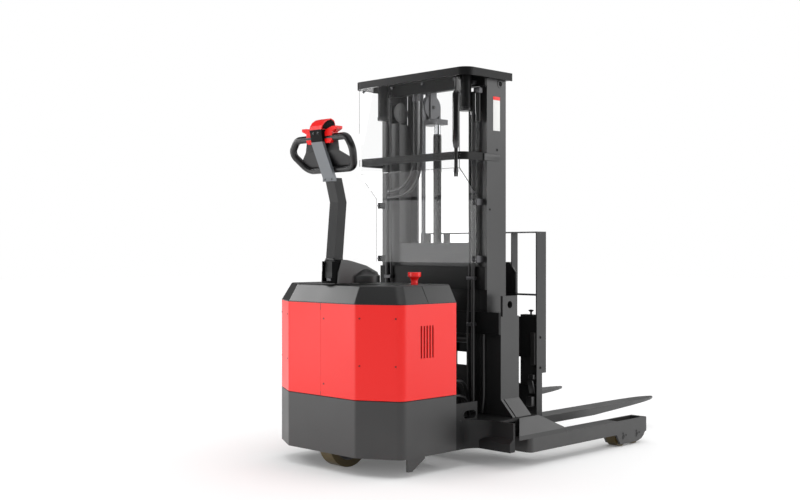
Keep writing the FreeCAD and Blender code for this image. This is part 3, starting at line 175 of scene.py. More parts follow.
def rounded_outline(corners: Rows, radius: float | Sequence[float], steps: int) -> Array:
    """A closed flat outline whose corners are turned into arcs that touch both sides.

    Each arc starts and ends at radius * tan(turn / 2) from its corner, and its points are the centre plus
    the radius turned evenly between the two normals.

    Args:
        corners: the outline's corners, in order.
        radius: one radius for all corners, or one for each.
        steps: points on each arc.
    """
    points = np.asarray(corners, float)
    radii = np.full(len(points), radius, float) if np.isscalar(radius) else np.asarray(radius, float)
    before = np.roll(points, 1, axis=0) - points
    after = np.roll(points, -1, axis=0) - points
    before /= np.linalg.norm(before, axis=1, keepdims=True)
    after /= np.linalg.norm(after, axis=1, keepdims=True)
    half = np.arccos(np.clip((before * after).sum(axis=1), -1, 1)) / 2
    middle = before + after
    middle /= np.maximum(np.linalg.norm(middle, axis=1, keepdims=True), 1e-9)
    centres = points + middle * (radii / np.sin(half))[:, None]
    starts = points + before * (radii / np.tan(half))[:, None] - centres
    ends = points + after * (radii / np.tan(half))[:, None] - centres
    share = np.linspace(0, 1, steps)[None, :, None]
    turn = (math.pi - 2 * half)[:, None, None]
    sine = np.maximum(np.sin(turn), 1e-9)
    arcs = (np.sin((1 - share) * turn) * starts[:, None] + np.sin(share * turn) * ends[:, None]) / sine
    return (centres[:, None] + arcs).reshape(-1, 2)


def inset(outline: Array, distance: float) -> Array:
    """The outline moved inwards: each point goes along the mean normal of its two neighbours' chord."""
    along = np.roll(outline, -1, axis=0) - np.roll(outline, 1, axis=0)
    normal = np.stack([-along[:, 1], along[:, 0]], axis=1)
    normal /= np.maximum(np.linalg.norm(normal, axis=1, keepdims=True), 1e-9)
    x, y = outline.T
    area = (x * np.roll(y, -1) - np.roll(x, -1) * y).sum()
    return outline + normal * distance * (1 if area > 0 else -1)


def slab(outline: Array, low: float, high: float, axis: Axis, edge: float) -> Surface:
    """A flat outline carried along an axis, with both rims rounded.

    The rim is a quarter circle: at angle t the outline is drawn in by edge * (1 - cos t) and stands
    edge * (1 - sin t) from the end.

    Args:
        outline: closed outline, as points across the axis.
        low: where it starts on the axis.
        high: where it ends.
        axis: the axis it is carried along.
        edge: radius of both rims.
    """
    turn = np.linspace(math.pi / 2, 0, RIM_STEPS + 1)
    rim = [(edge * (1 - math.cos(t)), edge * (1 - math.sin(t))) for t in turn]
    rows = [(d, low + w) for d, w in rim] + [(d, high - w) for d, w in reversed(rim)]
    grid = np.stack([
        np.column_stack([inset(outline, d) if d else outline, np.full(len(outline), w)]) for d, w in rows
    ])
    return Surface().add(axis.place(grid))


def block(x: Sequence[float], y: Sequence[float], z: Sequence[float], edge: float) -> Surface:
    """A box between limits along each axis, with all edges rounded."""
    corners = [(x[0], y[0]), (x[1], y[0]), (x[1], y[1]), (x[0], y[1])]
    edge = min(edge, EDGE_SHARE * min(x[1] - x[0], y[1] - y[0], z[1] - z[0]))
    return slab(rounded_outline(corners, CORNER_SHARE * edge, 4), z[0], z[1], Axis.Z, edge)


def turned(profile: Rows, centre: Sequence[float], axis: Axis, segments: int) -> Surface:
    """A profile of (radius, height) pairs turned round an axis through centre.

    Point (t, k) is the centre plus radius_k * (cos t, sin t) across the axis and height_k along it.
    """
    radius, height = np.asarray(profile, float).T
    angle = np.linspace(0, 2 * math.pi, segments, endpoint=False)
    grid = np.stack([
        radius[:, None] * np.cos(angle), radius[:, None] * np.sin(angle),
        np.repeat(height[:, None], segments, axis=1),
    ], axis=-1)
    return Surface().add(axis.place(grid) + np.asarray(centre, float))


def swept(path: Array, section: Array) -> Surface:
    """A flat section carried along an open path, square to it.

    Each section stands on a frame of the tangent and two normals. The first normal is carried on from
    the one before, less its part along the tangent.
    """
    tangent = np.gradient(path, axis=0)
    tangent /= np.linalg.norm(tangent, axis=1, keepdims=True)
    normals = [np.asarray(FIRST_NORMAL, float)]
    for direction in tangent:
        base = normals[-1]
        normal = base - direction * base.dot(direction)
        normals.append(normal / np.linalg.norm(normal))
    normal = np.array(normals[1:])
    other = np.cross(tangent, normal)
    grid = path[:, None] + section[None, :, :1] * normal[:, None] + section[None, :, 1:] * other[:, None]
    return Surface().add(grid)


def circle(radius: float) -> Array:
    """Points round a circle."""
    angle = np.linspace(0, 2 * math.pi, PIPE_SIDES, endpoint=False)
    return radius * np.column_stack([np.cos(angle), np.sin(angle)])


def smooth_path(points: Rows, samples: int) -> Array:
    """A Catmull-Rom curve through points: on each span, the cubic whose end slopes are half the chord
    between the neighbours."""
    knots = np.asarray(points, float)
    last = len(knots) - 1
    place = np.linspace(0, last, samples)
    span = np.minimum(place.astype(int), last - 1)
    t = (place - span)[:, None]
    a, b, c, d = (knots[np.clip(span + k, 0, last)] for k in (-1, 0, 1, 2))
    return 0.5 * (2 * b + (c - a) * t + (2 * a - 5 * b + 4 * c - d) * t**2 + (3 * b - a - 3 * c + d) * t**3)


def screw_head(centre: Sequence[float], axis: Axis, radius: float, height: float) -> Surface:
    """A domed screw head that stands on its centre along an axis; a negative height points it backwards."""
    turn = np.linspace(0, 0.45 * math.pi, 5)
    profile = [(radius, 0.0)] + [(radius * math.cos(t), height * (0.35 + 0.65 * math.sin(t))) for t in turn]
    return turned(profile, centre, axis, 14)


# ---------------------------------------------------------------------------
# Finishes
# ---------------------------------------------------------------------------

Colour = Triple


class NodeTree:
    """A thin wrapper that adds and joins shader nodes."""

    def __init__(self, tree: bpy.types.NodeTree) -> None:
        """Keep the tree that nodes are added to."""
        self.tree = tree

    def add(self, kind: str, **values: object) -> bpy.types.Node:
        """Add a node; a value is a socket's number or colour, or a link if it is a socket itself."""
        node = self.tree.nodes.new(kind)
        for name, value in values.items():
            self.put(node, name, value)
        return node

    def put(self, node: bpy.types.Node, name: str, value: object) -> None:
        """Set or link one input, named with underscores for spaces, or a property of the node."""
        if hasattr(node, name) and not isinstance(value, bpy.types.NodeSocket):
            setattr(node, name, value)
            return
        socket = node.inputs[int(name[3:])] if name.startswith("in_") else node.inputs[name.replace("_", " ")]
        if isinstance(value, bpy.types.NodeSocket):
            self.tree.links.new(value, socket)
        else:
            socket.default_value = value


def grain_group() -> bpy.types.NodeTree:
    """Fine paint grain: a height for bump and a roughness that wanders a little."""
    tree = bpy.data.node_groups.new("fine_grain", "ShaderNodeTree")
    for name, kind, way in (("Scale", "NodeSocketFloat", "INPUT"), ("Roughness", "NodeSocketFloat", "INPUT"),
                            ("Height", "NodeSocketFloat", "OUTPUT"), ("Rough", "NodeSocketFloat", "OUTPUT")):
        tree.interface.new_socket(name, in_out=way, socket_type=kind)
    nodes = NodeTree(tree)
    entry, leave = nodes.add("NodeGroupInput"), nodes.add("NodeGroupOutput")
    place = nodes.add("ShaderNodeTexCoord").outputs["Object"]
    fine = nodes.add("ShaderNodeTexNoise", Vector=place, Scale=entry.outputs["Scale"], Detail=2.0)
    broad = nodes.add("ShaderNodeTexNoise", Vector=place, Scale=7.0, Detail=3.0)
    shift = nodes.add("ShaderNodeMapRange", Value=broad.outputs["Fac"], To_Min=-0.05, To_Max=0.05)
    total = nodes.add("ShaderNodeMath", operation="ADD", in_0=entry.outputs["Roughness"],
                      in_1=shift.outputs[0])
    nodes.put(leave, "Height", fine.outputs["Fac"])
    nodes.put(leave, "Rough", total.outputs[0])
    return tree


def dust_group() -> bpy.types.NodeTree:
    """Pale dust that thins out upwards from the floor, in patches."""
    tree = bpy.data.node_groups.new("floor_dust", "ShaderNodeTree")
    for name, kind, way in (("Colour", "NodeSocketColor", "INPUT"), ("Dust", "NodeSocketColor", "INPUT"),
                            ("Amount", "NodeSocketFloat", "INPUT"), ("Colour", "NodeSocketColor", "OUTPUT")):
        tree.interface.new_socket(name, in_out=way, socket_type=kind)
    nodes = NodeTree(tree)
    entry, leave = nodes.add("NodeGroupInput"), nodes.add("NodeGroupOutput")
    place = nodes.add("ShaderNodeTexCoord").outputs["Object"]
    height = nodes.add("ShaderNodeSeparateXYZ", Vector=place).outputs["Z"]
    fall = nodes.add("ShaderNodeMapRange", Value=height, From_Min=0.0, From_Max=0.35, To_Min=1.0, To_Max=0.0)
    noise = nodes.add("ShaderNodeTexNoise", Vector=place, Scale=9.0, Detail=4.0)
    patch = nodes.add("ShaderNodeMath", operation="MULTIPLY", in_0=fall.outputs[0], in_1=noise.outputs["Fac"])
    mask = nodes.add("ShaderNodeMath", operation="MULTIPLY", in_0=patch.outputs[0],
                     in_1=entry.outputs["Amount"])
    mix = nodes.add("ShaderNodeMixRGB", Fac=mask.outputs[0], Color1=entry.outputs["Colour"],
                    Color2=entry.outputs["Dust"])
    nodes.put(leave, "Colour", mix.outputs[0])
    return tree


@dataclass(frozen=True)
class Finish:
    """One surface finish: its colour, gloss and grain."""

    name: str
    colour: Colour
    roughness: float
    metallic: float = 0.0
    specular: float = 0.5
    grain_scale: float = 900.0
    grain_depth: float = 0.00004
    dust: float = 0.0

    def build(self) -> bpy.types.Material:
        """Make the material: dusted colour, wandering roughness and grain bump on one shader."""
        material = bpy.data.materials.new(self.name)
        material.use_nodes = True
        material.node_tree.nodes.clear()
        nodes = NodeTree(material.node_tree)
        shader = nodes.add("ShaderNodeBsdfPrincipled", Metallic=self.metallic,
                           Specular_IOR_Level=self.specular)
        dusted = nodes.add("ShaderNodeGroup", node_tree=bpy.data.node_groups["floor_dust"],
                           Colour=(*self.colour, 1.0), Dust=DUST_COLOUR, Amount=self.dust)
        grain = nodes.add("ShaderNodeGroup", node_tree=bpy.data.node_groups["fine_grain"],
                          Scale=self.grain_scale, Roughness=self.roughness)
        bump = nodes.add("ShaderNodeBump", Height=grain.outputs["Height"], Strength=BUMP_STRENGTH,
                         Distance=self.grain_depth)
        nodes.put(shader, "Base Color", dusted.outputs[0])
        nodes.put(shader, "Roughness", grain.outputs["Rough"])
        nodes.put(shader, "Normal", bump.outputs[0])
        nodes.add("ShaderNodeOutputMaterial", Surface=shader.outputs[0])
        return material


@dataclass(frozen=True)
class ClearFinish:
    """Clear sheet that lets the view through and mirrors the studio faintly."""

    name: str
    colour: Colour
    roughness: float
    ior: float

    def build(self) -> bpy.types.Material:
        """Make the material with plain values on the shader's own sockets."""
        material = bpy.data.materials.new(self.name)
        material.use_nodes = True
        shader = material.node_tree.nodes["Principled BSDF"]
        for name, value in (("Base Color", (*self.colour, 1.0)), ("Roughness", self.roughness),
                            ("IOR", self.ior), ("Transmission Weight", 1.0), ("Metallic", 0.0)):
            shader.inputs[name].default_value = value
        return material


class Paint(Enum):
    """Every finish on the truck, by what it covers."""

    RED = Finish("gloss_red_paint", (0.90, 0.012, 0.009), 0.34, specular=0.42)
    BODY = Finish("body_grey_paint", (0.020, 0.020, 0.0205), 0.40, specular=0.72, dust=0.05)
    HOOD = Finish("hood_grey_plastic", (0.014, 0.014, 0.0145), 0.34, specular=0.7, grain_scale=1400)
    MAST = Finish("mast_grey_paint", (0.010, 0.010, 0.0105), 0.38, specular=0.75, dust=0.02)
    LEG = Finish("leg_grey_paint", (0.020, 0.020, 0.0205), 0.40, specular=0.75, dust=0.06)
    REACH = Finish("reach_grey_paint", (0.010, 0.010, 0.0105), 0.40, specular=0.7)
    FORK = Finish("fork_black_paint", (0.030, 0.030, 0.0305), 0.38, specular=0.75, dust=0.05)
    TILLER = Finish("tiller_grey_paint", (0.013, 0.0133, 0.0137), 0.42, specular=0.35)
    # Black head plastic; also painted shade in the bores of the rails.
    PAD = Finish("head_plastic_and_hole_shade", (0.004, 0.004, 0.0043), 0.46, grain_scale=1600, specular=0.09)
    # Near black on the base frame, partly its own dark paint and partly painted shade for the base wall in
    # the body's shadow; also on the inner frame and the axle ends.
    UNDER = Finish("base_dark_paint_and_painted_shade", (0.009, 0.009, 0.0095), 0.45, specular=0.35)
    UPPER = Finish("guard_paint", (0.0055, 0.0055, 0.0058), 0.40, specular=0.22)
    BARREL = Finish("barrel_black", (0.004, 0.004, 0.0042), 0.20, specular=0.7)
    STRAP = Finish("tiller_blue_grey", (0.15, 0.162, 0.175), 0.30, specular=0.7)
    # Black plastic; also painted shade on the seam's notches and in the gap under the hood.
    BLACK = Finish("black_plastic_and_painted_shade", (0.005, 0.005, 0.0055), 0.34, grain_scale=1600)
    RED_PLASTIC = Finish("red_plastic", (0.90, 0.008, 0.007), 0.28)
    TREAD = Finish("brown_polyurethane", (0.075, 0.048, 0.004), 0.42, dust=0.04)
    CHROME = Finish("hard_chrome", (0.62, 0.63, 0.65), 0.16, metallic=1.0, grain_depth=0.00001)
    STEEL = Finish("oiled_steel", (0.10, 0.10, 0.105), 0.42, metallic=0.8)
    # Battery black; also painted shade behind the vent slots.
    BATTERY = Finish("battery_black_and_vent_shade", (0.010, 0.010, 0.011), 0.55)
    # Near black on the inner rails, darker than the outer rails' paint.
    INNER = Finish("inner_rail_near_black", (0.006, 0.006, 0.0065), 0.34)
    LABEL = Finish("blank_plate", (0.80, 0.80, 0.78), 0.45)
    CLEAR = ClearFinish("clear_panel", (0.985, 0.988, 0.988), 0.0, 1.27)

    def material(self) -> bpy.types.Material:
        """The finish's material, made when it is first asked for."""
        return bpy.data.materials.get(self.value.name) or self.value.build()


def dress(paint: Paint, *nodes: bpy.types.Object) -> None:
    """Give CAD nodes their finish."""
    for node in nodes:
        data = node.data
        data.materials.clear()
        data.materials.append(paint.material())


def add_piece(name: str, surface: Surface, paint: Paint, body: str) -> None:
    """Make a piece of the truck, dress it and let it ride on a body.

    Args:
        name: the piece's name.
        surface: its shape.
        paint: its finish.
        body: the CAD body that it moves with.
    """
    thing = surface.mesh(name)
    thing.data.materials.append(paint.material())
    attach(thing, body)
    LOG.info("piece %s: %d points on %s", name, surface.count, body)


# ---------------------------------------------------------------------------
# Stage
# ---------------------------------------------------------------------------


@dataclass(frozen=True)
class SoftBox:
    """A rectangular soft lamp: its name, place, aim, width, height and the brightness of its face."""

    name: str
    place: Triple
    aim: Triple
    width: float
    height: float
    brightness: float

    def build(self) -> None:
        """Add the lamp; its power is its brightness times pi times its area."""
        light = bpy.data.lights.new(self.name, "AREA")
        light.shape = "RECTANGLE"
        light.size, light.size_y = self.width, self.height
        light.energy = self.brightness * math.pi * self.width * self.height
        thing = bpy.data.objects.new(self.name, light)
        thing.visible_camera = False
        thing.location = self.place
        way = np.asarray(self.aim, float) - np.asarray(self.place, float)
        across = math.hypot(way[0], way[1])
        thing.rotation_euler = (math.atan2(across, -way[2]), 0.0, math.atan2(way[1], way[0]) - math.pi / 2)
        bpy.context.scene.collection.objects.link(thing)


@dataclass
class Stage:
    """White studio: floor, world, soft lamps and the camera."""

    eye: Triple = (-4.2515, -3.679, 0.965)
    lens: float = 49.77
    ambient: float = 0.68
    mirrored: float = 0.10
    near_glow: float = 0.12
    far_glow: float = 0.50
    boxes: tuple[SoftBox, ...] = (
        SoftBox("rear_box", (-4.2, 1.8, 0.70), (-1.0, 0.0, 0.70), 3.6, 1.4, 2.25),
        SoftBox("side_box", (2.0, -3.9, 1.7), (-0.2, -0.4, 0.6), 3.2, 3.2, 1.8),
        SoftBox("top_box", (-0.4, -0.4, 4.6), (-0.4, -0.4, 0.0), 5.6, 5.6, 0.9),
        SoftBox("back_box", (3.4, 3.4, 1.1), (0.3, 0.3, 0.5), 4.0, 1.2, 0.5),
        SoftBox("front_box", (2.4, -1.0, 2.35), (-0.5, -0.4, 0.5), 2.6, 1.3, 1.9),
        SoftBox("hood_box", (-2.15, 2.80, 2.30), (-1.06, 0.2, 0.77), 1.3, 1.1, 6.5),
    )

    def build(self) -> None:
        """Set up the whole stage."""
        self.floor()
        self.sky()
        for box in self.boxes:
            box.build()
        camera = bpy.data.objects.new("camera", bpy.data.cameras.new("camera"))
        camera.location = self.eye
        camera.rotation_euler = (math.pi / 2, 0, -math.pi / 4)
        camera.data.lens = self.lens
        bpy.context.scene.collection.objects.link(camera)
        bpy.context.scene.camera = camera
        bpy.context.scene.view_settings.view_transform = "Standard"

    def floor(self) -> None:
        """A wide pale floor that glows for the camera and still takes the shadow."""
        data = bpy.data.meshes.new("floor")
        half = 30.0
        corners = [(-half, -half, 0), (half, -half, 0), (half, half, 0), (-half, half, 0)]
        data.from_pydata(corners, [], [[0, 1, 2, 3]])
        floor = bpy.data.objects.new("floor", data)
        bpy.context.scene.collection.objects.link(floor)
        material = bpy.data.materials.new("studio_floor")
        material.use_nodes = True
        material.node_tree.nodes.clear()
        nodes = NodeTree(material.node_tree)
        matt = nodes.add("ShaderNodeBsdfDiffuse", Color=(0.80, 0.80, 0.80, 1.0))
        glow = nodes.add("ShaderNodeEmission", Color=(1.0, 1.0, 1.0, 1.0))
        path = nodes.add("ShaderNodeLightPath")
        seen = nodes.add("ShaderNodeMath", operation="MAXIMUM", in_0=path.outputs["Is Camera Ray"],
                         in_1=path.outputs["Is Glossy Ray"])
        place = nodes.add("ShaderNodeTexCoord").outputs["Object"]
        distance = nodes.add("ShaderNodeVectorMath", operation="LENGTH", in_0=place).outputs["Value"]
        level = nodes.add("ShaderNodeMapRange", Value=distance, From_Min=1.8, From_Max=5.0,
                          To_Min=self.near_glow, To_Max=self.far_glow)
        lit = nodes.add("ShaderNodeMath", operation="MULTIPLY", in_0=seen.outputs[0], in_1=level.outputs[0])
        nodes.put(glow, "Strength", lit.outputs[0])
        both = nodes.add("ShaderNodeAddShader", in_0=matt.outputs[0], in_1=glow.outputs[0])
        nodes.add("ShaderNodeOutputMaterial", Surface=both.outputs[0])
        data.materials.append(material)

    def sky(self) -> None:
        """White to the camera and through glass, dim in mirrors, and a soft even light on the truck."""
        world = bpy.data.worlds.new("studio")
        world.use_nodes = True
        world.node_tree.nodes.clear()
        nodes = NodeTree(world.node_tree)
        path = nodes.add("ShaderNodeLightPath")
        seen = nodes.add("ShaderNodeMath", operation="MAXIMUM", in_0=path.outputs["Is Camera Ray"],
                         in_1=path.outputs["Is Transmission Ray"])
        gloss = nodes.add("ShaderNodeMapRange", Value=path.outputs["Is Glossy Ray"], To_Min=self.ambient,
                          To_Max=self.mirrored)
        level = nodes.add("ShaderNodeMapRange", Value=seen.outputs[0], To_Min=gloss.outputs[0], To_Max=1.0)
        sky = nodes.add("ShaderNodeBackground", Color=(1.0, 1.0, 1.0, 1.0), Strength=level.outputs[0])
        nodes.add("ShaderNodeOutputWorld", Surface=sky.outputs[0])
        bpy.context.scene.world = world


# ---------------------------------------------------------------------------
# The truck
# ---------------------------------------------------------------------------

SIDES = ("left", "right")


def pipe(path: Rows, radius: float, samples: int) -> Surface:
    """A round pipe or hose along a smooth curve through points."""
    return swept(smooth_path(path, samples), circle(radius))


def rod(centre: Sequence[float], axis: Axis, radius: float, length: float, edge: float = 0.0015) -> Surface:
    """A round rod from its centre point along an axis, with both rims bevelled."""
    edge = min(edge, radius / 2, abs(length) / 2)
    step = math.copysign(edge, length)
    profile = [(radius - edge, 0.0), (radius, step), (radius, length - step), (radius - edge, length)]
    return turned(profile, centre, axis, 32)


def many(*surfaces: Surface) -> Surface:
    """One surface made of several."""
    return Surface().join(*surfaces)


@dataclass
class Tiller:
    """Eyes and cheeks of the tiller's head, collar and screws of its arm, the yoke's link, and the drum."""

    eye: Triple = (-0.0285, 0.014, 1.474)
    dome_half: float = 0.040
    collar_x: float = 0.0797
    collar_half: Pair = (0.0285, 0.0310)
    collar_z: Pair = (0.9175, 0.9305)

    def build(self) -> None:
        """Add every detail of the tiller."""
        add_piece("tiller_eyes", self.eyes(), Paint.CHROME, "tiller")
        add_piece("tiller_cheeks", self.cheeks(), Paint.PAD, "tiller")
        add_piece("tiller_collar", self.collar(), Paint.BLACK, "tiller")
        add_piece("tiller_rivets", self.rivets(), Paint.STEEL, "tiller")
        add_piece("tiller_link", self.link(), Paint.STEEL, "steer_unit")
        add_piece("yoke_bolts", self.yoke_bolts(), Paint.STEEL, "steer_unit")
        add_piece("cover_drum", self.drum(), Paint.HOOD, "steer_unit")

    def eyes(self) -> Surface:
        """Two small sockets in the rear of the head."""
        x, y, z = self.eye
        ring = [(0.0058, 0.0), (0.0058, -0.0022), (0.0034, -0.0022), (0.0028, 0.0)]
        return turned(ring, (ahead(x), y, z), Axis.X, 20).mirrored()

    def cheeks(self) -> Surface:
        """Dark caps on both ends of the dome, drawn in from its outline."""
        corners = [(-0.027, 1.492), (-0.023, 1.505), (-0.012, 1.519), (0.006, 1.531), (0.025, 1.5365),
                   (0.040, 1.530), (0.0465, 1.517), (0.0475, 1.492)]
        outline = rounded_outline([(ahead(x), z) for x, z in corners], 0.002, 4)
        return slab(outline, self.dome_half, self.dome_half + 0.0025, Axis.Y, 0.001).mirrored()

    def collar(self) -> Surface:
        """Soft collar round the arm where it enters the yoke."""
        x, y = self.collar_half
        return block((ahead(self.collar_x - x), ahead(self.collar_x + x)), (-y, y), self.collar_z, 0.005)

    def rivets(self) -> Surface:
        """Screws that hold the strap to the arm."""
        return screw_head((ahead(0.0450), 0.022, 1.276), Axis.X, 0.0045, -0.002).mirrored()

    def link(self) -> Surface:
        """Lever and its foot inside the open yoke, in front of the arm."""
        lever = block((ahead(0.040), ahead(0.052)), (-0.0325, -0.0285), (0.826, 0.868), 0.002)
        foot = block((ahead(0.036), ahead(0.058)), (-0.026, 0.004), (0.8265, 0.842), 0.003)
        return many(lever, foot)

    def drum(self) -> Surface:
        """Rim and flat cone of the drum that swells out of the steering cover's right side."""
        profile = [(0.0745, 0.0), (0.0770, 0.002), (0.0770, 0.031), (0.0745, 0.034), (0.0700, 0.036),
                   (0.0300, 0.060), (0.0220, 0.062)]
        return turned(profile, (ahead(0.225), -0.032, 0.8180), Axis.Z, 64)

    def yoke_bolts(self) -> Surface:
        """Heads of the pivot pin on both sides of the yoke."""
        return rod((ahead(0.075), 0.0452, 0.866), Axis.Y, 0.0135, 0.004).mirrored()


@dataclass
class Body:
    """Screws of the covers, painted shade for the seam's notches and for the gap under the hood, the knob's
    collar, the wheel's rims, painted shade behind the vents, and the hoses.
    """

    screw_radius: float = 0.0036
    screw_height: float = 0.0012
    screw_y: float = -0.0205
    screws_rear: tuple[float, ...] = (0.665, 0.380)
    screws_slant: tuple[Pair, ...] = ((0.10, 0.674), (0.86, 0.6745), (0.10, 0.4725), (0.86, 0.473))
    rear_half: float = 0.221
    corner_run: float = 0.104
    side_y: float = 0.404
    length: float = 0.440

    def build(self) -> None:
        """Add every detail of the body."""
        add_piece("cover_screws", self.screws(), Paint.BLACK, "truck")
        add_piece("seam_notch_shades", self.seam_notch_shades(), Paint.BLACK, "truck")
        add_piece("knob_collar", self.knob_collar(), Paint.RED_PLASTIC, "truck")
        add_piece("vent_shade_sheets", self.vent_shade_sheets(), Paint.BATTERY, "truck")
        add_piece("drive_rims", self.drive_rims(), Paint.STEEL, "drive_wheel")
        add_piece("side_plate_screws", self.plate_screws(), Paint.BLACK, "truck")
        add_piece("hose_ends", self.hose_ends(), Paint.STEEL, "truck")
        add_piece("body_hoses", self.hoses(), Paint.BLACK, "truck")
        add_piece("hood_gap_shade", self.gap_shade(), Paint.BLACK, "truck")

    def screws(self) -> Surface:
        """Small sunk screws in the rear and in both slanted faces."""
        rear = [screw_head((ahead(-0.0004), self.screw_y, z), Axis.X, self.screw_radius, -self.screw_height)
                for z in self.screws_rear]
        slant = []
        run, rise = self.corner_run, self.side_y - self.rear_half
        length = math.hypot(run, rise)
        normal = np.array([-rise, run, 0.0]) / length
        along = np.array([run, rise, 0.0]) / length
        frame = np.stack([normal, along, np.array([0.0, 0.0, 1.0])])
        start = np.array([ahead(0.0), self.rear_half, 0.0])
        for share, z in self.screws_slant:
            place = start + along * share * length + normal * 0.0006 + (0, 0, z)
            head = screw_head((0.0, 0.0, 0.0), Axis.X, self.screw_radius, self.screw_height)
            slant.append(head.moved(lambda p, place=place: p @ frame + place))
        return many(*rear, many(*slant).mirrored())

    def seam_notch_shades(self) -> Surface:
        """Painted shade: thin black strips that stand in for the shaded notches at both ends of the seam
        between the covers.
        """
        return many(*(block((ahead(-0.0005), ahead(0.0006)), (-0.0010, 0.0010), levels, 0.0002)
                      for levels in ((0.702, 0.7325), (0.3275, 0.345))))

    def knob_collar(self) -> Surface:
        """Flare under the knob's head."""
        profile = [(0.0152, 0.018), (0.0165, 0.024), (0.021, 0.030), (0.0275, 0.0355), (0.0275, 0.0358),
                   (0.0152, 0.0358)]
        return turned(profile, (ahead(0.300), -0.283, 0.813), Axis.Z, 40)

    def vent_shade_sheets(self) -> Surface:
        """Painted shade: a black sheet behind the vent slots that stands in for the shade inside them."""
        return block((ahead(0.205), ahead(0.300)), (0.3962, 0.3982), (0.490, 0.652), 0.0005).mirrored()

    def drive_rims(self) -> Surface:
        """Hub faces on both sides of the drive wheel."""
        profile = [(0.020, 0.0), (0.020, 0.002), (0.034, 0.003), (0.036, 0.0006),
                   (0.074, 0.0006), (0.078, 0.003), (0.082, 0.003), (0.083, 0.0)]
        return turned(profile, (ahead(0.137), 0.0381, 0.115), Axis.Y, 48).mirrored()

    def plate_screws(self) -> Surface:
        """Screw beside the oval slot in each side plate."""
        return screw_head((ahead(0.470), 0.4042, 0.206), Axis.Y, 0.005, 0.0015).mirrored()

    def gap_shade(self) -> Surface:
        """Painted shade: a thin black ring that stands in for the shadow gap between the hood and the covers.
        """
        run, wide = self.corner_run, self.side_y
        left = [(0.0, self.rear_half), (run, wide), (self.length, wide)]
        corners = left + [(x, -y) for x, y in reversed(left)]
        radii = (0.025, 0.048, 0.001, 0.001, 0.048, 0.025)
        outline = rounded_outline([(ahead(x), y) for x, y in corners], radii, 8)
        rim, hole = inset(outline, -0.0005), inset(outline, 0.004)
        rows = [(rim, 0.7324), (rim, 0.7362), (hole, 0.7362), (hole, 0.7324)]
        grid = np.stack([np.column_stack([o, np.full(len(o), z)]) for o, z in rows])
        return Surface().add(grid, ring=True)

    def hose_ends(self) -> Surface:
        """Fittings on the front of the body, low on the right and on the left."""
        spots = ((-0.330, 0.372), (-0.300, 0.352), (-0.345, 0.310), (-0.315, 0.296),
                 (0.320, 0.350), (0.330, 0.300))
        return many(*(rod((ahead(self.length + 0.0005), y, z), Axis.X, 0.011, 0.036) for y, z in spots))

    def hoses(self) -> Surface:
        """Hoses from the body's front to the mast's foot."""
        paths = (
            ((0.478, -0.330, 0.372), (0.52, -0.332, 0.375), (0.575, -0.325, 0.36), (0.63, -0.30, 0.30),
             (0.66, -0.28, 0.212)),
            ((0.478, -0.300, 0.352), (0.52, -0.300, 0.352), (0.575, -0.290, 0.335), (0.62, -0.26, 0.28),
             (0.64, -0.24, 0.212)),
            ((0.478, -0.345, 0.310), (0.52, -0.346, 0.308), (0.57, -0.34, 0.29), (0.60, -0.33, 0.25),
             (0.612, -0.325, 0.212)),
            ((0.478, 0.320, 0.350), (0.53, 0.320, 0.352), (0.59, 0.30, 0.33), (0.635, 0.27, 0.27),
             (0.65, 0.26, 0.212)),
        )
        return many(*(pipe([(ahead(x), y, z) for x, y, z in path], 0.0085, 40) for path in paths))


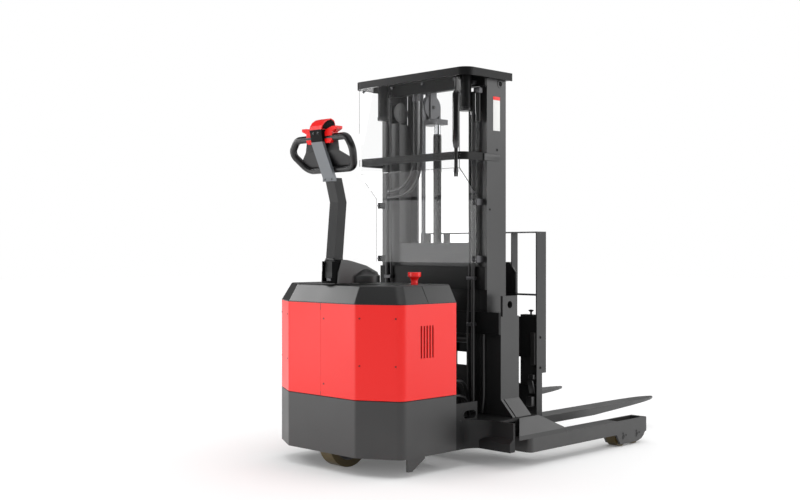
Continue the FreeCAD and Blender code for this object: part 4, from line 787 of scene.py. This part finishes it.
@dataclass
class Mast:
    """Pipes, hoses, clamps, plates, pins and bolts of the mast, and the strut of its screen."""

    outer: float = 0.347
    hose_x: float = 0.688
    strut: Pair = (0.5215, -0.3290)
    plate_x: Pair = (0.758, 0.807)
    plate_levels: Pair = (1.521, 1.664)
    band_levels: Pair = (1.6642, 1.680)
    sheave_x: float = 0.7835
    sheave_z: float = 1.667
    sheave_radius: float = 0.054
    chain_pitch: float = 0.0127

    def build(self) -> None:
        """Add every detail of the mast."""
        add_piece("mast_pipes", self.pipes(), Paint.MAST, "truck")
        add_piece("pipe_clamps", self.clamps(), Paint.STEEL, "truck")
        add_piece("mast_hoses", self.hoses(), Paint.BLACK, "truck")
        add_piece("hose_fittings", self.fittings(), Paint.STEEL, "truck")
        add_piece("screen_strut", self.strut_tube(), Paint.BARREL, "truck")
        add_piece("rail_bosses", self.bosses(), Paint.MAST, "truck")
        add_piece("rail_hole_shades", self.hole_shades(), Paint.PAD, "truck")
        add_piece("bar_ends", self.bar_ends(), Paint.MAST, "truck")
        add_piece("blank_plates", self.plate(self.plate_levels), Paint.LABEL, "truck")
        add_piece("plate_bands", self.plate(self.band_levels), Paint.RED, "truck")
        add_piece("bumper_rings", self.bumper_rings(), Paint.BLACK, "truck")
        add_piece("roller_faces", self.roller_faces(), Paint.BODY, "truck")
        add_piece("chain_links", self.chain_links(), Paint.STEEL, "inner_mast")
        add_piece("sheave_bolt", self.sheave_bolt(), Paint.BLACK, "inner_mast")
        add_piece("screen_bolts", self.screen_bolts(), Paint.STEEL, "truck")
        add_piece("cylinder_head", self.cylinder_head(), Paint.BODY, "truck")

    def pipes(self) -> Surface:
        """Hydraulic pipes down the backs of both rails and below the low beam."""
        x, thin_x, short_x = ahead(self.hose_x), ahead(0.690), ahead(0.7045)
        tall = [(x, 0.286, z) for z in (1.70, 1.2, 0.7, 0.32)] + [(ahead(0.684), 0.286, 0.215)]
        short = [(short_x, 0.336, z) for z in (0.575, 0.42, 0.30)] + [(ahead(0.700), 0.330, 0.212)]
        thin = [(thin_x, 0.262, z) for z in (1.70, 1.2, 0.95)] + [(thin_x, 0.250, z) for z in (0.60, 0.215)]
        return many(pipe(tall, 0.0098, 60), pipe(short, 0.0075, 40), pipe(thin, 0.005, 60)).mirrored()

    def clamps(self) -> Surface:
        """Clamps that hold the pipes to the beams."""
        plates = [block((ahead(0.676), ahead(0.6998)), (0.252, 0.298), (z, z + 0.016), 0.002)
                  for z in (0.612, 0.826, 1.735)]
        return many(*plates).mirrored()

    def hoses(self) -> Surface:
        """Two hoses from the top beam to the left rail, and the sleeve of the right rail's hoses."""
        x = ahead(self.hose_x)
        first = ((0.090, 1.70), (0.091, 1.58), (0.092, 1.47), (0.098, 1.39), (0.128, 1.318), (0.188, 1.272),
                 (0.262, 1.258))
        second = ((0.049, 1.70), (0.050, 1.58), (0.051, 1.45), (0.058, 1.36), (0.092, 1.286), (0.160, 1.240),
                  (0.262, 1.226))
        long = [pipe([(x, y, z) for y, z in path], 0.0085, 90) for path in (first, second)]
        side_x = ahead(0.686)
        side = pipe([(side_x, -0.3175, z) for z in (1.70, 1.66, 1.61, 1.56)], 0.0118, 12)
        return many(*long, side)

    def fittings(self) -> Surface:
        """Fittings at the hoses' upper and lower ends."""
        x = ahead(self.hose_x)
        upper = [rod((x, y, 1.69), Axis.Z, 0.0125, 0.034) for y in (0.090, 0.049)]
        lower = [rod((x, 0.258, z), Axis.Y, 0.0115, 0.016) for z in (1.258, 1.226)]
        right = block((ahead(0.672), ahead(0.699)), (-0.335, -0.300), (1.690, 1.716), 0.003)
        middle = block((ahead(0.668), ahead(0.699)), (-0.262, -0.240), (1.690, 1.722), 0.003)
        return many(*upper, *lower, right, middle)

    def strut_tube(self) -> Surface:
        """Gas strut beside the screen, with its rod and lower end, hung from the top guard."""
        x, y = ahead(self.strut[0]), self.strut[1]
        tube = turned([(0.009, 1.424), (0.0125, 1.432), (0.0162, 1.456), (0.0162, 1.672), (0.010, 1.684)],
                      (x, y, 0.0), Axis.Z, 24)
        inner = rod((x, y, 1.330), Axis.Z, 0.0082, 0.100)
        foot = block((x - 0.008, x + 0.008), (y - 0.008, y + 0.008), (1.296, 1.336), 0.002)
        hanger = block((x - 0.004, ahead(0.5480)), (y - 0.005, y + 0.005), (1.676, 1.7448), 0.001)
        return many(tube, inner, foot, hanger)

    def bosses(self) -> Surface:
        """Pressed rings round the holes near the rails' tops."""
        profile = [(0.0115, 0.0), (0.0115, 0.0022), (0.0150, 0.0030), (0.0195, 0.0018), (0.0205, 0.0)]
        return turned(profile, (ahead(0.808), self.outer + 0.0002, 1.7425), Axis.Y, 32).mirrored()

    def hole_shades(self) -> Surface:
        """Painted shade: near-black discs on the rails' outer faces that stand in for the shaded bores."""
        spots = ((0.808, 1.7425, 0.0085), (0.787, 1.432, 0.0062), (0.735, 1.153, 0.0055))
        return many(*(rod((ahead(x), self.outer + 0.0002, z), Axis.Y, radius, 0.0012, 0.0003)
                      for x, z, radius in spots)).mirrored()

    def bar_ends(self) -> Surface:
        """Flattened ends of the middle bar, lapped on the outer faces of the rails."""
        corners = [(ahead(0.690), 1.378), (ahead(0.806), 1.380), (ahead(0.806), 1.410), (ahead(0.690), 1.412)]
        outline = rounded_outline(corners, (0.002, 0.014, 0.014, 0.002), 6)
        return slab(outline, self.outer + 0.0003, self.outer + 0.0055, Axis.Y, 0.0022).mirrored()

    def plate(self, levels: Sequence[float]) -> Surface:
        """Thin plate high on each rail, between two levels."""
        x = [ahead(place) for place in self.plate_x]
        return block(x, (self.outer + 0.0002, self.outer + 0.0012), levels, 0.0004).mirrored()

    def bumper_rings(self) -> Surface:
        """Dark rubber rings at the lower ends of the bumpers."""
        profile = [(0.0272, 0.0), (0.0292, 0.003), (0.0292, 0.016), (0.0272, 0.020)]
        return turned(profile, (ahead(0.650), 0.272, 1.6078), Axis.Z, 32).mirrored()

    def roller_faces(self) -> Surface:
        """Turned faces with a groove and a hub on the rollers at the tops of the outer rails."""
        profile = [(0.003, -0.0008), (0.003, -0.0022), (0.0125, -0.0022), (0.0125, -0.0005),
                   (0.0150, -0.0005), (0.0150, -0.0018), (0.0420, -0.0018), (0.0425, -0.0004),
                   (0.0455, -0.0004), (0.0460, -0.0016), (0.0500, -0.0016), (0.0505, -0.0002)]
        return turned(profile, (ahead(0.792), 0.2909, 1.660), Axis.Y, 48).mirrored()

    def chain_links(self) -> Surface:
        """Pins that stand out of the chain's rear run and over the sheave."""
        reach, top = self.sheave_radius, self.sheave_z
        pin = rod((ahead(0.7295), 0.0625, 0.0), Axis.Y, 0.0036, 0.019, 0.0008)
        rear = pin.copies([(0.0, 0.0, z) for z in np.arange(1.012, 1.664, self.chain_pitch)])
        turn = np.linspace(0.12, math.pi - 0.12, 14)
        wrap = pin.copies([(reach + reach * math.cos(t), 0.0, top + reach * math.sin(t)) for t in turn])
        return many(rear, wrap)

    def sheave_bolt(self) -> Surface:
        """Bolt heads on the sheave's cheeks."""
        return many(*(rod((ahead(self.sheave_x), y, self.sheave_z), Axis.Y, 0.009, length)
                      for y, length in ((0.0900, 0.005), (0.0540, -0.005))))

    def screen_bolts(self) -> Surface:
        """Bolts and washers that hold the screen to its clips and to the guard."""
        low = [screw_head((ahead(0.6568), 0.315, z), Axis.X, 0.0075, -0.004) for z in (1.187, 0.923)]
        high = [screw_head((ahead(0.5398), y, 1.742), Axis.X, 0.0075, -0.004) for y in (0.30, 0.10)]
        return many(*low, *high).mirrored()

    def cylinder_head(self) -> Surface:
        """Gland at the top of the lift cylinder."""
        profile = [(0.0155, 1.5205), (0.0185, 1.5205), (0.0185, 1.527), (0.0155, 1.5275)]
        return turned(profile, (ahead(0.752), 0.0, 0.0), Axis.Z, 32)


@dataclass
class Legs:
    """Axle ends, keepers and hubs of the straddle legs."""

    outer: float = 0.613
    axle_z: float = 0.050
    axles: Pair = (1.434, 1.434 + 0.117)

    def build(self) -> None:
        """Add every detail of the legs."""
        add_piece("axle_ends", self.axle_ends(), Paint.UNDER, "truck")
        add_piece("axle_keepers", self.keepers(), Paint.BLACK, "truck")
        for end, x in zip(("rear", "front"), self.axles):
            for side, sign in zip(SIDES, (1, -1)):
                hub = self.hub(x).moved(lambda p, sign=sign: p * (1, sign, 1))
                if sign < 0:
                    hub.faces = [face[::-1] for face in hub.faces]
                place = f"{end}_{side}"
                add_piece(f"load_hub_{place}", hub, Paint.STEEL, f"load_wheel_{place}")

    def hub(self, x: float) -> Surface:
        """Bearing rings on both faces of a load wheel."""
        profile = [(0.0115, 0.0), (0.0115, 0.0015), (0.026, 0.0015), (0.028, 0.0)]
        return many(*(turned([(r, h * way) for r, h in profile], (ahead(x), y, self.axle_z), Axis.Y, 32)
                      for y, way in ((0.5961, 1), (0.5419, -1))))

    def axle_ends(self) -> Surface:
        """Ends of the axles, flush rings on the outer plates."""
        return many(*(rod((ahead(x), self.outer + 0.0001, self.axle_z), Axis.Y, 0.0085, 0.0012, 0.0004)
                      for x in self.axles)).mirrored()

    def keepers(self) -> Surface:
        """Small keeper screws, three round each axle's end."""
        spots = [(x + dx, self.axle_z + dz) for x in self.axles
                 for dx, dz in ((0.022, 0.004), (-0.004, 0.014), (-0.004, -0.010))]
        return many(*(rod((ahead(x), self.outer + 0.0013, z), Axis.Y, 0.0050, 0.0008, 0.0002)
                      for x, z in spots)).mirrored()


@dataclass
class ReachFrame:
    """Fork pins, covers and bolts on the fork frame, and the caps on the arms' pins."""

    fork_y: float = 0.310
    arm_pin: Pair = (0.895, 0.860)

    def build(self) -> None:
        """Add every detail of the reaching parts."""
        add_piece("fork_pins", self.fork_pins(), Paint.BODY, "fork_frame")
        add_piece("frame_covers", self.covers(), Paint.BODY, "fork_frame")
        add_piece("backrest_bolts", self.backrest_bolts(), Paint.PAD, "fork_frame")
        add_piece("arm_pin_caps", self.pin_caps(), Paint.STEEL, "reach_carriage")

    def fork_pins(self) -> Surface:
        """Latch pins on top of the forks' shanks."""
        profile = [(0.005, 0.0), (0.005, 0.012), (0.013, 0.018), (0.013, 0.022), (0.004, 0.024)]
        return turned(profile, (ahead(1.089), self.fork_y, 0.6502), Axis.Z, 24).mirrored()

    def covers(self) -> Surface:
        """Guide strip, cable box, slanted plate and low box on the frame's outer ends."""
        strip = block((ahead(1.0285), ahead(1.0355)), (0.352, 0.379), (0.412, 0.568), 0.0015)
        box = block((ahead(1.0200), ahead(1.0355)), (0.346, 0.377), (0.343, 0.366), 0.003)
        corners = [(1.0355, 0.262), (1.0355, 0.300), (1.020, 0.338), (1.012, 0.338)]
        outline = rounded_outline([(ahead(x), z) for x, z in corners], 0.002, 4)
        plate = slab(outline, 0.344, 0.376, Axis.Y, 0.0015)
        low = block((ahead(1.0080), ahead(1.0355)), (0.344, 0.376), (0.213, 0.261), 0.003)
        return many(strip, box, plate, low).mirrored()

    def backrest_bolts(self) -> Surface:
        """Bolts that hold the backrest's side bars to the frame."""
        return many(*(rod((ahead(1.064), 0.3862, z), Axis.Y, 0.0065, 0.0016, 0.0005)
                      for z in (0.5435, 0.397))).mirrored()

    def pin_caps(self) -> Surface:
        """Caps on the arms' upper pins, outside the carriage plates."""
        x, z = self.arm_pin
        return rod((ahead(x), 0.2082, z), Axis.Y, 0.019, 0.006).mirrored()


@dataclass
class Truck:
    """The whole truck: the finish of each solid, and every sub-assembly's details."""

    nodes: dict[str, bpy.types.Object]

    def pick(self, *names: str) -> list[bpy.types.Object]:
        """CAD nodes by name, where a name that ends in an underscore stands for both sides."""
        wanted = [f"{name}{side}" for name in names for side in (SIDES if name.endswith("_") else ("",))]
        return [self.nodes[name] for name in wanted]

    def dress_solids(self) -> None:
        """Give every CAD node its finish."""
        plan = {
            Paint.RED: ("red_cover_",),
            Paint.BODY: ("skirt",),
            Paint.UNDER: ("base_frame", "inner_frame"),
            Paint.HOOD: ("hood_rear", "hood_front", "steering_cover"),
            Paint.RED_PLASTIC: ("emergency_knob", "tiller_switches"),
            Paint.BATTERY: ("battery",),
            Paint.STEEL: ("power_unit", "screen_clips", "drive_unit", "lift_chain"),
            Paint.LEG: ("straddle_leg_",),
            Paint.MAST: ("mast_foot_", "mast_outer_"),
            Paint.UPPER: ("top_guard", "mid_guard", "mast_beams"),
            Paint.BARREL: ("lift_cylinder",),
            Paint.INNER: ("mast_inner",),
            Paint.CLEAR: ("screen",),
            Paint.CHROME: ("lift_rod",),
            Paint.TREAD: ("drive_wheel", "load_wheel_front_", "load_wheel_rear_"),
            Paint.BLACK: ("tiller_loop",),
            Paint.PAD: ("tiller_yoke", "tiller_head"),
            Paint.TILLER: ("tiller_arm",),
            Paint.STRAP: ("tiller_strap",),
            Paint.REACH: ("carriage", "reach_arms_outer", "reach_arms_inner", "fork_frame", "load_backrest"),
            Paint.FORK: ("fork_",),
        }
        for paint, names in plan.items():
            dress(paint, *self.pick(*names))

    def build(self) -> None:
        """Dress the solids and add the details."""
        self.dress_solids()
        for part in (Tiller(), Body(), Mast(), Legs(), ReachFrame()):
            part.build()


def main() -> None:
    """Load the frame, build the stage and dress the truck."""
    logging.basicConfig(level=logging.INFO, format="%(message)s")
    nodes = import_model()["nodes"]
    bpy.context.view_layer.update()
    grain_group()
    dust_group()
    Stage().build()
    Truck(nodes).build()
    bpy.context.view_layer.update()


if __name__ == "__main__":
    main()
